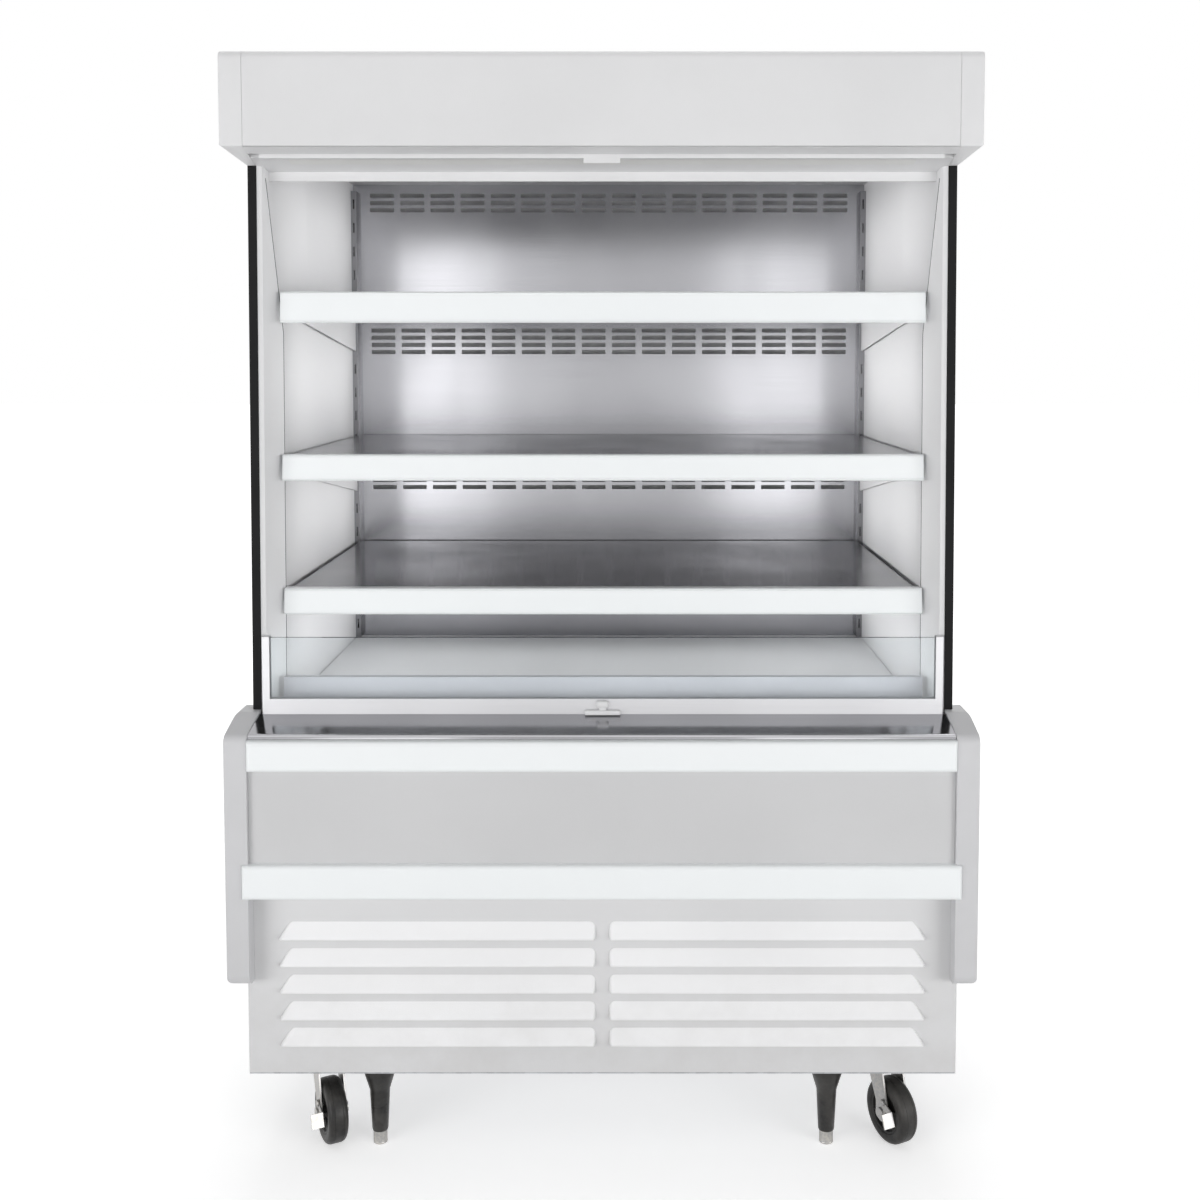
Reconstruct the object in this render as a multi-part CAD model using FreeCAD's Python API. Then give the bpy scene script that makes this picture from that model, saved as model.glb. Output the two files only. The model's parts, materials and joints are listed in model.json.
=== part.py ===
import FreeCAD, Part
import math
import os

# Open multideck display fridge, self-contained, on casters.
# Millimetres. +Z up, the open front faces -Y, origin on the floor under the middle of the cabinet.

V = FreeCAD.Vector

# ---- cabinet envelope ----
body_width = 1180.0
overall_depth = 890.0
overall_height = 1837.0
base_height = 150.0
skin = 1.2
end_panel_thickness = 42.0
foam_thickness = 50.0
roof_foam_thickness = 60.0
duct_depth = 35.0
ceiling_drop = 121.0
play = 0.3

# ---- nose below the opening ----
bumper_depth = 15.0
bumper_wall = 3.0
bumper_corner = 7.0
bumper_overlap = 10.0
nose_depth = 25.0
cap_overhang = 25.0
cap_inset = 12.0
cap_wall = 3.0
cap_setback = 7.0
tub_bottom_z = 490.0
tub_front_wall = 64.0
sill_rear_z = 747.0
sill_front_z = 731.0
sill_flat = 17.0
sill_thickness = 1.5
sill_flange = 25.0
sill_nose_radius = 6.0
upper_bumper_z = 673.0
upper_bumper_height = 51.0
lower_bumper_z = 461.0
lower_bumper_height = 57.0
base_cap_z = 313.0
base_cap_depth = 140.0
base_cap_rise = 4.0
base_cap_shoulder_drop = 2.0
base_cap_shoulder_radius = 16.0
base_cap_edge_radius = 14.0
base_cap_corner = 20.0

# ---- front edge of the end panels ----
edge_back_top = 127.0
edge_back_bottom = 107.0
trim_width = 13.0
trim_thickness = 1.5
trim_side = 18.0
edge_face_width = 8.0
crease_depth = 56.0
flare_drop = 300.0
flare_shift_x = 17.0
flare_shift_y = 44.0
flare_bend = 260.0
flare_rear_setback = 365.0

# ---- canopy ----
canopy_setback = 45.0
canopy_height = 152.0
canopy_corner = 12.0
canopy_cap_depth = 150.0
soffit_depth = 110.0
soffit_rise = 26.0
fascia_return = 10.0
fascia_gap = 0.1
lip_drop = 17.0
honeycomb_depth = 52.0
honeycomb_height = 20.0
honeycomb_cells = 60
honeycomb_rows = 3
honeycomb_web = 1.2
honeycomb_end_gap = 2.0
lamp_width = 22.0
lamp_height = 16.0
lamp_gap = 8.0
lamp_end_gap = 30.0

# ---- night curtain ----
curtain_setback = 38.0
slot_width = 16.0
slot_upstand = 10.0
roller_radius = 22.0
roll_build = 8.0
roller_drop = 65.0
roller_end_gap = 23.0
roll_end_gap = 12.0
spigot_radius = 6.0
spigot_depth = 18.0
running_clearance = 0.05
curtain_thickness = 0.6
bar_width = 11.0
bar_height = 16.0
bar_end_gap = 18.0
bar_show = 5.0
pull_length = 60.0
pull_drop = 8.0
catch_width = 22.0
catch_height = 24.0
catch_depth = 9.0
catch_foot_width = 60.0
catch_foot_height = 8.0

# ---- shelves ----
shelf_tops = {"bottom": 950.0, "middle": 1180.0, "top": 1457.0}
rail_heights = {"bottom": 45.0, "middle": 45.0, "top": 53.0}
shelf_overhang = 130.0
shelf_flange = 28.0
shelf_sheet = 1.2
shelf_end_gap = 12.5
shelf_rear_gap = 12.0
rail_overlap = 11.7
rail_thickness = 3.0
rail_projection = 24.0
rail_tilt = 4.0
rail_lip = 6.0
rail_web = 22.0
upright_width = 11.6
upright_depth = 25.0
upright_wall = 1.5
upright_foot = 20.0
upright_head_gap = 16.0
upright_slot_height = 20.0
upright_slot_pitch = 50.0
bracket_thickness = 2.5
bracket_front_height = 12.0
bracket_lip = 18.0
bracket_end_gap = 45.0
bracket_drop = 6.0
hook_height = 14.0
hook_depth = 7.0

# ---- slotted back panel ----
back_slot_columns = 16
back_slot_pitch = 64.8
back_slot_length = 51.0
back_slot_height = 8.5
back_slot_row_pitch = 15.4
top_slots_drop = 54.0
top_slot_rows = 3
lower_slots = {1358.5: 4, 1066.0: 4}

# ---- deck, return air and glass guard ----
deck_z = 742.0
deck_flange = 20.0
deck_gap = 2.0
deck_rest_width = 14.0
deck_rest_thickness = 2.0
riser_z = 800.0
riser_setback = 30.0
riser_thickness = 14.0
grille_z = 755.0
grille_slots = 36
grille_slot_width = 5.0
channel_height = 26.0
channel_depth = 16.0
channel_floor = 4.0
glass_thickness = 6.0
glass_height = 125.0
glass_end_gap = 19.0
glass_post_width = 12.0

# ---- louvred panel ----
louvre_panel_gap = 0.5
louvre_bottom_z = 153.0
louvre_tuck = 12.0
louvre_rows = 5
louvre_pitch = 45.3
louvre_first_z = 198.0
louvre_height = 32.0
louvre_length = 525.0
louvre_middle_gap = 23.0
louvre_slant = 18.0
louvre_projection = 11.0

# ---- base frame ----
frame_height = 40.0
frame_flange = 35.0
frame_wall = 3.0
tray_thickness = 2.0
cross_beam_width = 110.0

# ---- casters ----
caster_side_inset = 108.0
caster_front_inset = 93.0
caster_rear_inset = 95.0
caster_yaws = {"front_left": 27.0, "front_right": 27.0, "rear_left": -14.0, "rear_right": 9.0}
wheel_diameter = 108.0
wheel_width = 34.0
tyre_corner = 9.0
hub_radius = 34.0
hub_recess = 4.0
caster_trail = 32.0
plate_length = 100.0
plate_width = 80.0
plate_thickness = 4.0
kingpin_radius = 7.0
kingpin_head = 11.0
kingpin_head_height = 3.0
crown_radius = 30.0
crown_gap = 0.5
crown_thickness = 7.0
fork_wall = 3.0
fork_side_gap = 2.5
fork_foot = 15.0
fork_top_width = 46.0
axle_radius = 5.0
axle_head = 9.0
axle_head_height = 5.0
brake_pin_radius = 3.0
brake_pin_ahead = 6.0
brake_pin_rise = 20.0
brake_thickness = 2.5
brake_gap = 0.3
brake_reach = 24.0
brake_tab = 21.0
brake_tab_width = 22.0

# ---- levelling legs ----
leg_side_inset = 207.0
leg_front_inset = 60.0
leg_flange_radius = 26.5
leg_collar_height = 12.0
leg_taper_height = 26.0
leg_top_radius = 16.4
leg_bottom_radius = 13.8
leg_bottom_z = 23.0
foot_radius = 12.0
foot_bottom_z = 0.0
foot_insert = 50.0
foot_travel = 15.0

# ---- machine compartment ----
compressor_side_inset = 260.0
compressor_radius = 85.0
compressor_height = 200.0
compressor_dome = 45.0
compressor_plate = 3.0
grommet_height = 12.0
grommet_radius = 12.0
grommet_spacing = 150.0
condenser_side_inset = 310.0
condenser_front_inset = 75.0
condenser_width = 400.0
condenser_depth = 60.0
condenser_height = 240.0
condenser_fins = 26
condenser_rows = 6
fin_thickness = 1.0
tube_radius = 5.0
shroud_depth = 60.0
shroud_wall = 2.0
fan_radius = 105.0
fan_tip_gap = 5.0
fan_hub_radius = 22.0
fan_hub_depth = 24.0
fan_blades = 5
blade_thickness = 2.0
motor_radius = 36.0
motor_length = 50.0
motor_gap = 6.0
motor_arm = 14.0
shaft_radius = 4.0
blind_end = 4.0
pan_side_inset = 290.0
pan_front_inset = 205.0
pan_length = 300.0
pan_width = 220.0
pan_height = 45.0
pan_wall = 1.5
box_side_inset = 210.0
box_length = 200.0
box_depth = 110.0
box_height = 150.0
box_rear_gap = 25.0
gland_radius = 9.0
gland_bore = 4.5
gland_rise = 20.0
pipe_radius = 5.0
pipe_bend = 22.0
pipe_offset = 9.0
pipe_side_room = 65.0
shell_port_height = 150.0
liquid_x = 60.0
discharge_x = 120.0
exhaust_slots = 12
exhaust_slot_height = 8.0
exhaust_slot_pitch = 18.0
exhaust_slot_length = 420.0
exhaust_rise = 40.0

# ---- evaporator in the tub ----
evaporator_side_inset = 160.0
evaporator_rear_inset = 255.0
evaporator_depth = 180.0
evaporator_height = 130.0
evaporator_lift = 12.0
evaporator_fins = 30
evaporator_rows = 4
fan_plate_ahead = 250.0
evaporator_fan_radius = 66.0
evaporator_fan_x = 230.0

# ---- derived planes ----
half = body_width / 2
ceiling_z = overall_height - ceiling_drop
canopy_bottom_z = overall_height - canopy_height
flare_start_z = canopy_bottom_z - flare_drop
roller_z = overall_height - roller_drop
rear_y = overall_depth / 2
bumper_y = -overall_depth / 2
nose_y = bumper_y + bumper_depth
base_y = nose_y + nose_depth
canopy_y = bumper_y + canopy_setback
edge_top_y = bumper_y + edge_back_top
edge_bottom_y = bumper_y + edge_back_bottom
skin_x = half - skin
liner_x = half - end_panel_thickness
cap_x = half + cap_overhang
nose_half = half - cap_inset
edge_face_x = half - trim_width - edge_face_width
flare_rear_y = bumper_y + flare_rear_setback
roof_under_z = overall_height - skin
duct_roof_z = roof_under_z - roof_foam_thickness
foam_rear_y = rear_y - skin
foam_rear_inner_y = foam_rear_y - foam_thickness
back_panel_y = foam_rear_inner_y - skin - duct_depth
tub_front_y = base_y + skin
tub_inner_y = tub_front_y + tub_front_wall
tub_floor_z = tub_bottom_z + foam_thickness
tub_liner_z = tub_floor_z + skin
sill_rear_y = tub_inner_y + skin
channel_y = sill_rear_y - sill_flat
soffit_rear_y = canopy_y + soffit_depth
honeycomb_rear_y = soffit_rear_y + honeycomb_depth
curtain_y = canopy_y + curtain_setback
roller_half = nose_half - roller_end_gap
bar_half = nose_half - bar_end_gap
bumper_end_x = nose_half + bumper_overlap
roller_y = curtain_y + curtain_thickness / 2 + play + roller_radius + roll_build
riser_y = sill_rear_y + riser_setback
tray_z = base_height + frame_height
room_z = tray_z + tray_thickness
shelf_rear_y = back_panel_y - shelf_rear_gap
shelf_front_y = edge_bottom_y + crease_depth + 10.0
shelf_half = liner_x - shelf_end_gap
bracket_x = liner_x - upright_width / 2
cap_top_z = sill_rear_z + base_cap_rise
caster_x = half - caster_side_inset
caster_front_y = base_y + caster_front_inset
caster_rear_y = rear_y - caster_rear_inset
leg_x = half - leg_side_inset
leg_y = base_y + leg_front_inset
evaporator_width = body_width - 2 * evaporator_side_inset
evaporator_y = rear_y - evaporator_rear_inset
fan_plate_y = evaporator_y - fan_plate_ahead
compressor_x = half - compressor_side_inset
compressor_y = evaporator_y
condenser_x = condenser_side_inset - half
condenser_y = base_y + condenser_front_inset
pan_x = half - pan_side_inset
pan_y = base_y + pan_front_inset
box_x = box_side_inset - half
slot_groups = {ceiling_z - top_slots_drop: top_slot_rows, **lower_slots}
caster_places = {"front_left": (-caster_x, caster_front_y), "front_right": (caster_x, caster_front_y),
                 "rear_left": (-caster_x, caster_rear_y), "rear_right": (caster_x, caster_rear_y)}
pipe_x = compressor_x + compressor_radius + pipe_side_room
pipe_hole = pipe_offset + pipe_radius + 2.0


# ---- helpers ----
def box(x0, x1, y0, y1, z0, z1):
    """Block between two opposite corners."""
    return Part.makeBox(x1 - x0, y1 - y0, z1 - z0, V(x0, y0, z0))


def rod(radius, start, direction, length):
    """Round bar from a start point."""
    return Part.makeCylinder(radius, length, V(*start), V(*direction))


def corner_edges(points):
    """Edges of a closed outline; a point (u, v, r) is rounded with radius r."""
    count = len(points)
    starts, ends, arcs = [], [], []
    for index, point in enumerate(points):
        before, after = points[index - 1], points[(index + 1) % count]
        here = V(point[0], point[1], 0)
        radius = point[2] if len(point) > 2 else 0.0
        if radius <= 0.0:
            starts.append(here)
            ends.append(here)
            arcs.append(None)
            continue
        back = (V(before[0], before[1], 0) - here).normalize()
        ahead = (V(after[0], after[1], 0) - here).normalize()
        half_angle = math.acos(max(-1.0, min(1.0, back.dot(ahead)))) / 2
        reach = radius / math.tan(half_angle)
        bisector = (back + ahead).normalize()
        starts.append(here + back * reach)
        ends.append(here + ahead * reach)
        arcs.append(here + bisector * (radius / math.sin(half_angle) - radius))
    edges = []
    for index in range(count):
        if arcs[index] is not None:
            edges.append((starts[index], arcs[index], ends[index]))
        following = starts[(index + 1) % count]
        if (following - ends[index]).Length > 1e-7:
            edges.append((ends[index], following))
    return edges


def outline(points, place):
    """Face from an outline; place turns (u, v) into a point in space."""
    edges = []
    for edge in corner_edges(points):
        ends = [place(p.x, p.y) for p in edge]
        if len(ends) == 3:
            edges.append(Part.Arc(*ends).toShape())
        else:
            edges.append(Part.LineSegment(*ends).toShape())
    return Part.Face(Part.Wire(edges))


def along_x(points, x0, x1):
    """Outline in the (y, z) plane, drawn out along X."""
    return outline(points, lambda u, v: V(x0, u, v)).extrude(V(x1 - x0, 0, 0))


def along_y(points, y0, y1):
    """Outline in the (x, z) plane, drawn out along Y."""
    return outline(points, lambda u, v: V(u, y0, v)).extrude(V(0, y1 - y0, 0))


def along_z(points, z0, z1):
    """Outline in the (x, y) plane, drawn out along Z."""
    return outline(points, lambda u, v: V(u, v, z0)).extrude(V(0, 0, z1 - z0))


def turned(points):
    """Outline of (radius, height) points turned about the Z axis."""
    return outline(points, lambda u, v: V(u, 0, v)).revolve(V(0, 0, 0), V(0, 0, 1), 360)


def bent_strip(path, thickness):
    """Outline of a bent sheet: the path, and the same path set off to its left."""
    count = len(path)
    offset = []
    for index in range(count):
        here = V(path[index][0], path[index][1], 0)
        normals = []
        if index > 0:
            step = (here - V(path[index - 1][0], path[index - 1][1], 0)).normalize()
            normals.append(V(-step.y, step.x, 0))
        if index < count - 1:
            step = (V(path[index + 1][0], path[index + 1][1], 0) - here).normalize()
            normals.append(V(-step.y, step.x, 0))
        mean = sum(normals, V(0, 0, 0)).normalize()
        shift = here + mean * (thickness / mean.dot(normals[0]))
        radius = path[index][2] if len(path[index]) > 2 else 0.0
        if radius > 0.0:
            turn = normals[0].cross(normals[-1]).z
            radius = radius - thickness if turn > 0 else radius + thickness
        offset.append((shift.x, shift.y, max(radius, 0.0)))
    return list(path) + offset[::-1]


def sections(rings):
    """Solid through closed outlines of equal corner count, with straight sides between them."""
    wires = [Part.makePolygon([V(*p) for p in ring] + [V(*ring[0])]) for ring in rings]
    return Part.makeLoft(wires, True, True)


def placed(shape, x, y, z=0.0, yaw=0.0):
    """Shape turned about the Z axis and then moved."""
    moved = shape.copy()
    moved.rotate(V(0, 0, 0), V(0, 0, 1), yaw)
    moved.translate(V(x, y, z))
    return moved


def both_sides(shape):
    """A piece and its mirror image in the cabinet's middle plane."""
    return [shape, shape.mirror(V(0, 0, 0), V(1, 0, 0))]


def joined(shapes):
    """One solid from overlapping or touching shapes."""
    return shapes[0].multiFuse(shapes[1:]).removeSplitter()


def open_tray(x0, x1, y0, y1, z0, z1, wall, base_up):
    """Thin-walled box without its top, or without its underside when base_up."""
    low, high = (z0 - 1.0, z1 - wall) if base_up else (z0 + wall, z1 + 1.0)
    return box(x0, x1, y0, y1, z0, z1).cut(box(x0 + wall, x1 - wall, y0 + wall, y1 - wall, low, high))


def save(node, shapes):
    """Write one node, as one solid or as a group of separate solids."""
    solids = [solid for shape in shapes for solid in shape.Solids]
    for solid in solids:
        if not solid.isValid():
            print("not valid:", node)
    shape = solids[0] if len(solids) == 1 else Part.makeCompound(solids)
    shape.exportStep("parts/" + node + ".step")
    print(node, len(solids), round(shape.Volume / 1000.0, 1), "cm3")


def edge_y(z):
    """Front edge of the end panels at height z, a straight line that leans out at the bottom."""
    share = (z - sill_rear_z) / (canopy_bottom_z - sill_rear_z)
    return edge_bottom_y + (edge_top_y - edge_bottom_y) * share


def soffit_z(y):
    """Height of the canopy's sloping underside, just below the fascia's return."""
    return canopy_bottom_z - skin - fascia_gap - soffit_rise * (y - canopy_y) / soffit_depth


def sill_z(y):
    """Height of the sill's top, flat at the glass and sloping down to the nose."""
    share = min(1.0, max(0.0, (channel_y - y) / (channel_y - nose_y - sill_thickness)))
    return sill_rear_z + (sill_front_z - sill_rear_z) * share


# ---- foamed body and end panels ----
def end_core(shift):
    """End panel above the sill between its inner face, moved outwards by shift, and its outer skin."""
    rings = []
    for z in (sill_rear_z, flare_start_z, flare_start_z + flare_bend, roof_under_z):
        front = edge_y(z)
        share = min(1.0, max(0.0, (z - flare_start_z) / flare_bend))
        crease_x = liner_x + flare_shift_x * share
        crease_y = front + crease_depth - flare_shift_y * share
        ring = [(liner_x + shift, foam_rear_y), (liner_x + shift, flare_rear_y), (crease_x + shift, crease_y),
                (edge_face_x + shift, front + edge_face_width / 2), (half - trim_width + shift, front),
                (skin_x, front), (skin_x, foam_rear_y)]
        rings.append([(x, y, z) for x, y in ring])
    return sections(rings)


def end_lower_core(shift):
    """End panel beside the tub, below the open front."""
    return box(liner_x + shift, skin_x, tub_front_y, foam_rear_y, tub_bottom_z, sill_rear_z)


def end_panels():
    """Inner faces, outer skins and front edge trims; gives back the foam cores for the insulation."""
    under = sill_rear_z - sill_thickness
    sill_room = along_x([(base_y, sill_z(base_y) - sill_thickness), (channel_y, under),
                         (edge_bottom_y, under), (edge_bottom_y, sill_rear_z + 1.0),
                         (base_y, sill_rear_z + 1.0)], 0, half)
    ledge = box(liner_x, skin_x, edge_bottom_y, edge_bottom_y + crease_depth, sill_rear_z - skin, sill_rear_z)
    deck_rest = box(liner_x - deck_rest_width, liner_x, sill_rear_y + sill_thickness + play, back_panel_y,
                    deck_z - deck_flange - deck_rest_thickness, deck_z - deck_flange)
    foam = joined([end_core(skin), end_lower_core(skin)]).cut([sill_room, ledge])
    liner = joined([end_core(0.0).cut(end_core(skin)), end_lower_core(0.0).cut(end_lower_core(skin)), ledge,
                    deck_rest]).cut(sill_room)
    save("end_liners", both_sides(liner))
    side = [(foam_rear_y, base_height), (tub_front_y, base_height),
            (tub_front_y, sill_z(tub_front_y) - sill_thickness), (channel_y, under), (edge_bottom_y, under),
            (edge_bottom_y, sill_rear_z), (edge_y(roof_under_z), roof_under_z), (foam_rear_y, roof_under_z)]
    save("end_skins", both_sides(along_x(side, skin_x, half)))
    top = soffit_z(edge_top_y)
    face = [(edge_y(sill_rear_z) - trim_thickness, sill_rear_z), (edge_y(top) - trim_thickness, top),
            (edge_y(top), top), (edge_y(sill_rear_z), sill_rear_z)]
    side = [face[0], face[1], (edge_y(top) + trim_side, top), (edge_y(sill_rear_z) + trim_side, sill_rear_z)]
    cap_room = box(half, cap_x, edge_bottom_y - 10.0, edge_bottom_y + trim_side + 10.0, sill_rear_z - 1.0,
                   cap_top_z + play)
    trim = joined([along_x(face, half - trim_width, half + trim_thickness),
                   along_x(side, half, half + trim_thickness)]).cut(cap_room)
    save("edge_trims", both_sides(trim))
    return both_sides(foam)


def insulation(end_foams):
    """Foam of the tub, back and roof in one piece, with the foam of the end panels; and the inner liner."""
    tub_top = sill_rear_z - sill_thickness
    inner = [(tub_inner_y, tub_top), (tub_inner_y, tub_floor_z), (foam_rear_inner_y, tub_floor_z),
             (foam_rear_inner_y, duct_roof_z), (soffit_rear_y, duct_roof_z)]
    outer = [(soffit_rear_y, roof_under_z), (foam_rear_y, roof_under_z), (foam_rear_y, tub_bottom_z),
             (tub_front_y, tub_bottom_z), (tub_front_y, sill_z(tub_front_y) - sill_thickness),
             (channel_y, tub_top)]
    way_out = rod(pipe_hole, (pipe_x, evaporator_y, tub_bottom_z - 1.0), (0, 0, 1), foam_thickness + 5.0)
    save("insulation", [along_x(outer + inner, -liner_x, liner_x).cut(way_out)] + end_foams)
    save("inner_liner", [along_x(bent_strip(inner, skin), -liner_x, liner_x).cut(way_out)])


def outer_skins():
    """Rear skin with its exhaust slots, and the roof skin."""
    openings = [rod(gland_radius + play, (box_x, foam_rear_y - 1.0, room_z + gland_rise), (0, 1, 0),
                    skin + 2.0)]
    for row in range(exhaust_slots):
        z = room_z + exhaust_rise + row * exhaust_slot_pitch
        for x in (condenser_x, -condenser_x):
            openings.append(box(x - exhaust_slot_length / 2, x + exhaust_slot_length / 2, foam_rear_y - 1.0,
                                rear_y + 1.0, z, z + exhaust_slot_height))
    save("rear_skin", [box(-half, half, foam_rear_y, rear_y, base_height, roof_under_z).cut(openings)])
    save("roof_skin", [box(-half, half, edge_y(roof_under_z), rear_y, roof_under_z, overall_height)])


# ---- canopy ----
def cap_plate(profile, inset_profile, front, inset_front):
    """Moulded outer plate of an end cap, hollow on its inner side."""
    outer = along_x(profile, half, cap_x).common(along_y(front, bumper_y, rear_y))
    hollow = along_x(inset_profile, half - 1.0, cap_x).common(along_y(inset_front, bumper_y, rear_y))
    return outer.cut(hollow)


def canopy():
    """Fascia, its two end caps with the roller spigots, and the lamp in the underside."""
    roof_front = edge_y(roof_under_z)
    path = [(canopy_y + skin + fascia_return, canopy_bottom_z), (canopy_y, canopy_bottom_z),
            (canopy_y, overall_height, canopy_corner), (roof_front, overall_height)]
    width = nose_half - play
    save("canopy_fascia", [along_x(bent_strip(path, -skin), -width, width)])
    rear, low = canopy_y + canopy_cap_depth, soffit_z(edge_top_y)
    wall, reach = cap_wall, half - roller_half
    profile = [(canopy_y, canopy_bottom_z, 3.0), (canopy_y, overall_height, canopy_corner),
               (rear, overall_height, 4.0), (rear, low, 4.0), (edge_top_y, low)]
    inset = [(canopy_y + wall, canopy_bottom_z + wall), (canopy_y + wall, overall_height - wall,
             canopy_corner - wall), (rear - wall, overall_height - wall), (rear - wall, low + wall),
             (edge_top_y, low + wall)]
    front = [(half, low), (half + trim_thickness, low), (cap_x, canopy_bottom_z + 2.0),
             (cap_x, overall_height, 4.0), (half, overall_height)]
    inset_front = [(half - 1.0, low), (half + wall, low + wall), (cap_x - wall, canopy_bottom_z + wall + 2.0),
                   (cap_x - wall, overall_height - wall), (half - 1.0, overall_height - wall)]
    plug = along_x([(canopy_y, canopy_bottom_z, 3.0), (canopy_y, overall_height, canopy_corner),
                    (roof_front - play, overall_height), (edge_y(low) - trim_thickness - play, low)],
                   nose_half, half)
    spigot = rod(spigot_radius, (half - reach - spigot_depth, roller_y, roller_z), (1, 0, 0),
                 reach + spigot_depth - 1.0)
    save("canopy_caps", both_sides(joined([cap_plate(profile, inset, front, inset_front), plug, spigot])))


def soffit(end_cores):
    """Underside strips either side of the curtain slot, the ceiling panel, the lamp and the air honeycomb."""
    slot_front, slot_rear = curtain_y - slot_width / 2, curtain_y + slot_width / 2
    width, lamp_end = nose_half - play, liner_x - lamp_end_gap
    start = canopy_y + skin + 2 * play
    front = [(slot_front, soffit_z(slot_front) + slot_upstand), (slot_front, soffit_z(slot_front)),
             (start, soffit_z(start))]
    rear = [(slot_rear, soffit_z(slot_rear) + slot_upstand), (slot_rear, soffit_z(slot_rear)),
            (soffit_rear_y, soffit_z(soffit_rear_y))]
    lamp_front = slot_rear + lamp_gap
    lamp_rear = lamp_front + lamp_width
    lip_z = canopy_bottom_z - soffit_rise - lip_drop
    window = box(-lamp_end, lamp_end, lamp_front, lamp_rear, lip_z, canopy_bottom_z)
    lip = box(-width, width, soffit_rear_y, soffit_rear_y + skin, lip_z, duct_roof_z - skin)
    rear_strip = joined([along_x(bent_strip(rear, skin), -width, width), lip]).cut([window] + end_cores)
    grille_z = lip_z + lip_drop
    turn = [(back_panel_y, ceiling_z), (honeycomb_rear_y, ceiling_z, 6.0), (honeycomb_rear_y, grille_z)]
    ceiling = along_x(bent_strip(turn, -skin), -edge_face_x, edge_face_x).cut(end_cores)
    save("soffit_panels", [along_x(bent_strip(front, -skin), -width, width), rear_strip, ceiling])
    lamp = [(lamp_front, soffit_z(lamp_front)), (lamp_rear, soffit_z(lamp_rear)),
            (lamp_rear, soffit_z(lamp_rear) + lamp_height), (lamp_front, soffit_z(lamp_rear) + lamp_height)]
    save("canopy_lamp", [along_x(lamp, -lamp_end, lamp_end)])
    x0, y0 = -(liner_x - honeycomb_end_gap), soffit_rear_y + skin
    x1, y1 = -x0, honeycomb_rear_y - skin
    cell_x = (x1 - x0 - honeycomb_web) / honeycomb_cells
    cell_y = (y1 - y0 - honeycomb_web) / honeycomb_rows
    corners = [(x0, y0, x1, y1)]
    for column in range(honeycomb_cells):
        for row in range(honeycomb_rows):
            x, y = x0 + honeycomb_web + column * cell_x, y0 + honeycomb_web + row * cell_y
            corners.append((x, y, x + cell_x - honeycomb_web, y + cell_y - honeycomb_web))
    rings = [Part.makePolygon([V(a, b, grille_z), V(c, b, grille_z), V(c, d, grille_z), V(a, d, grille_z),
                               V(a, b, grille_z)]) for a, b, c, d in corners]
    grid = Part.Face(rings, "Part::FaceMakerBullseye").extrude(V(0, 0, honeycomb_height))
    save("air_honeycomb", [grid])


def night_curtain():
    """Sprung roller with the wound cloth, the hanging cloth, its pull bar and the catch at the glass."""
    roll_half = roller_half - roll_end_gap
    roller = joined([rod(roller_radius, (-roller_half, roller_y, roller_z), (1, 0, 0), 2 * roller_half),
                     rod(roller_radius + roll_build, (-roll_half, roller_y, roller_z), (1, 0, 0),
                         2 * roll_half)])
    bore = rod(spigot_radius + running_clearance, (roller_half - spigot_depth - 2.0, roller_y, roller_z),
               (1, 0, 0), spigot_depth + 3.0)
    save("curtain_roller", [roller.cut(both_sides(bore))])
    bar_z = soffit_z(curtain_y) - bar_show
    save("curtain_cloth", [box(-roll_half, roll_half, curtain_y - curtain_thickness / 2,
                               curtain_y + curtain_thickness / 2, bar_z + bar_height, roller_z)])
    bar_front = curtain_y - bar_width / 2
    bar = box(-bar_half, bar_half, bar_front, bar_front + bar_width, bar_z, bar_z + bar_height)
    pull = box(-pull_length / 2, pull_length / 2, bar_front, channel_y - catch_depth - play,
               bar_z - pull_drop, bar_z + 2.0)
    save("curtain_bar", [joined([bar, pull])])
    catch = [box(-width / 2, width / 2, channel_y - catch_depth, channel_y, sill_rear_z, sill_rear_z + height)
             for width, height in ((catch_width, catch_height), (catch_foot_width, catch_foot_height))]
    save("curtain_catch", [joined(catch)])


# ---- display space ----
def back_panel():
    """Back panel of the display space with its groups of air slots."""
    slots = []
    for lowest, rows in slot_groups.items():
        for row in range(rows):
            z = lowest + row * back_slot_row_pitch
            for column in range(back_slot_columns):
                x = (column - (back_slot_columns - 1) / 2) * back_slot_pitch
                reach, rise = back_slot_length / 2, back_slot_height / 2
                slots.append(box(x - reach, x + reach, back_panel_y - 1.0, back_panel_y + skin + 1.0,
                                 z - rise, z + rise))
    sheet = box(-liner_x, liner_x, back_panel_y, back_panel_y + skin, deck_z - deck_flange, ceiling_z)
    save("back_panel", [sheet.cut(slots)])


def uprights():
    """Slotted corner uprights; gives back the heights of their slots."""
    low, high = deck_z + upright_foot, ceiling_z - upright_head_gap
    front, inner = back_panel_y - upright_depth, liner_x - upright_width
    channel = box(inner, liner_x, front, back_panel_y, deck_z + play, high)
    cutters = [box(inner + upright_wall, liner_x - upright_wall, front + upright_wall, back_panel_y + 1.0,
                   deck_z - 1.0, high + 1.0)]
    heights = []
    while low + len(heights) * upright_slot_pitch + upright_slot_height < high:
        heights.append(low + len(heights) * upright_slot_pitch)
    slot_half = bracket_thickness / 2 + play
    for z in heights:
        cutters.append(box(bracket_x - slot_half, bracket_x + slot_half, front - 1.0,
                           front + upright_wall + 1.0, z, z + upright_slot_height))
    save("shelf_uprights", both_sides(channel.cut(cutters)))
    return heights


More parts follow.
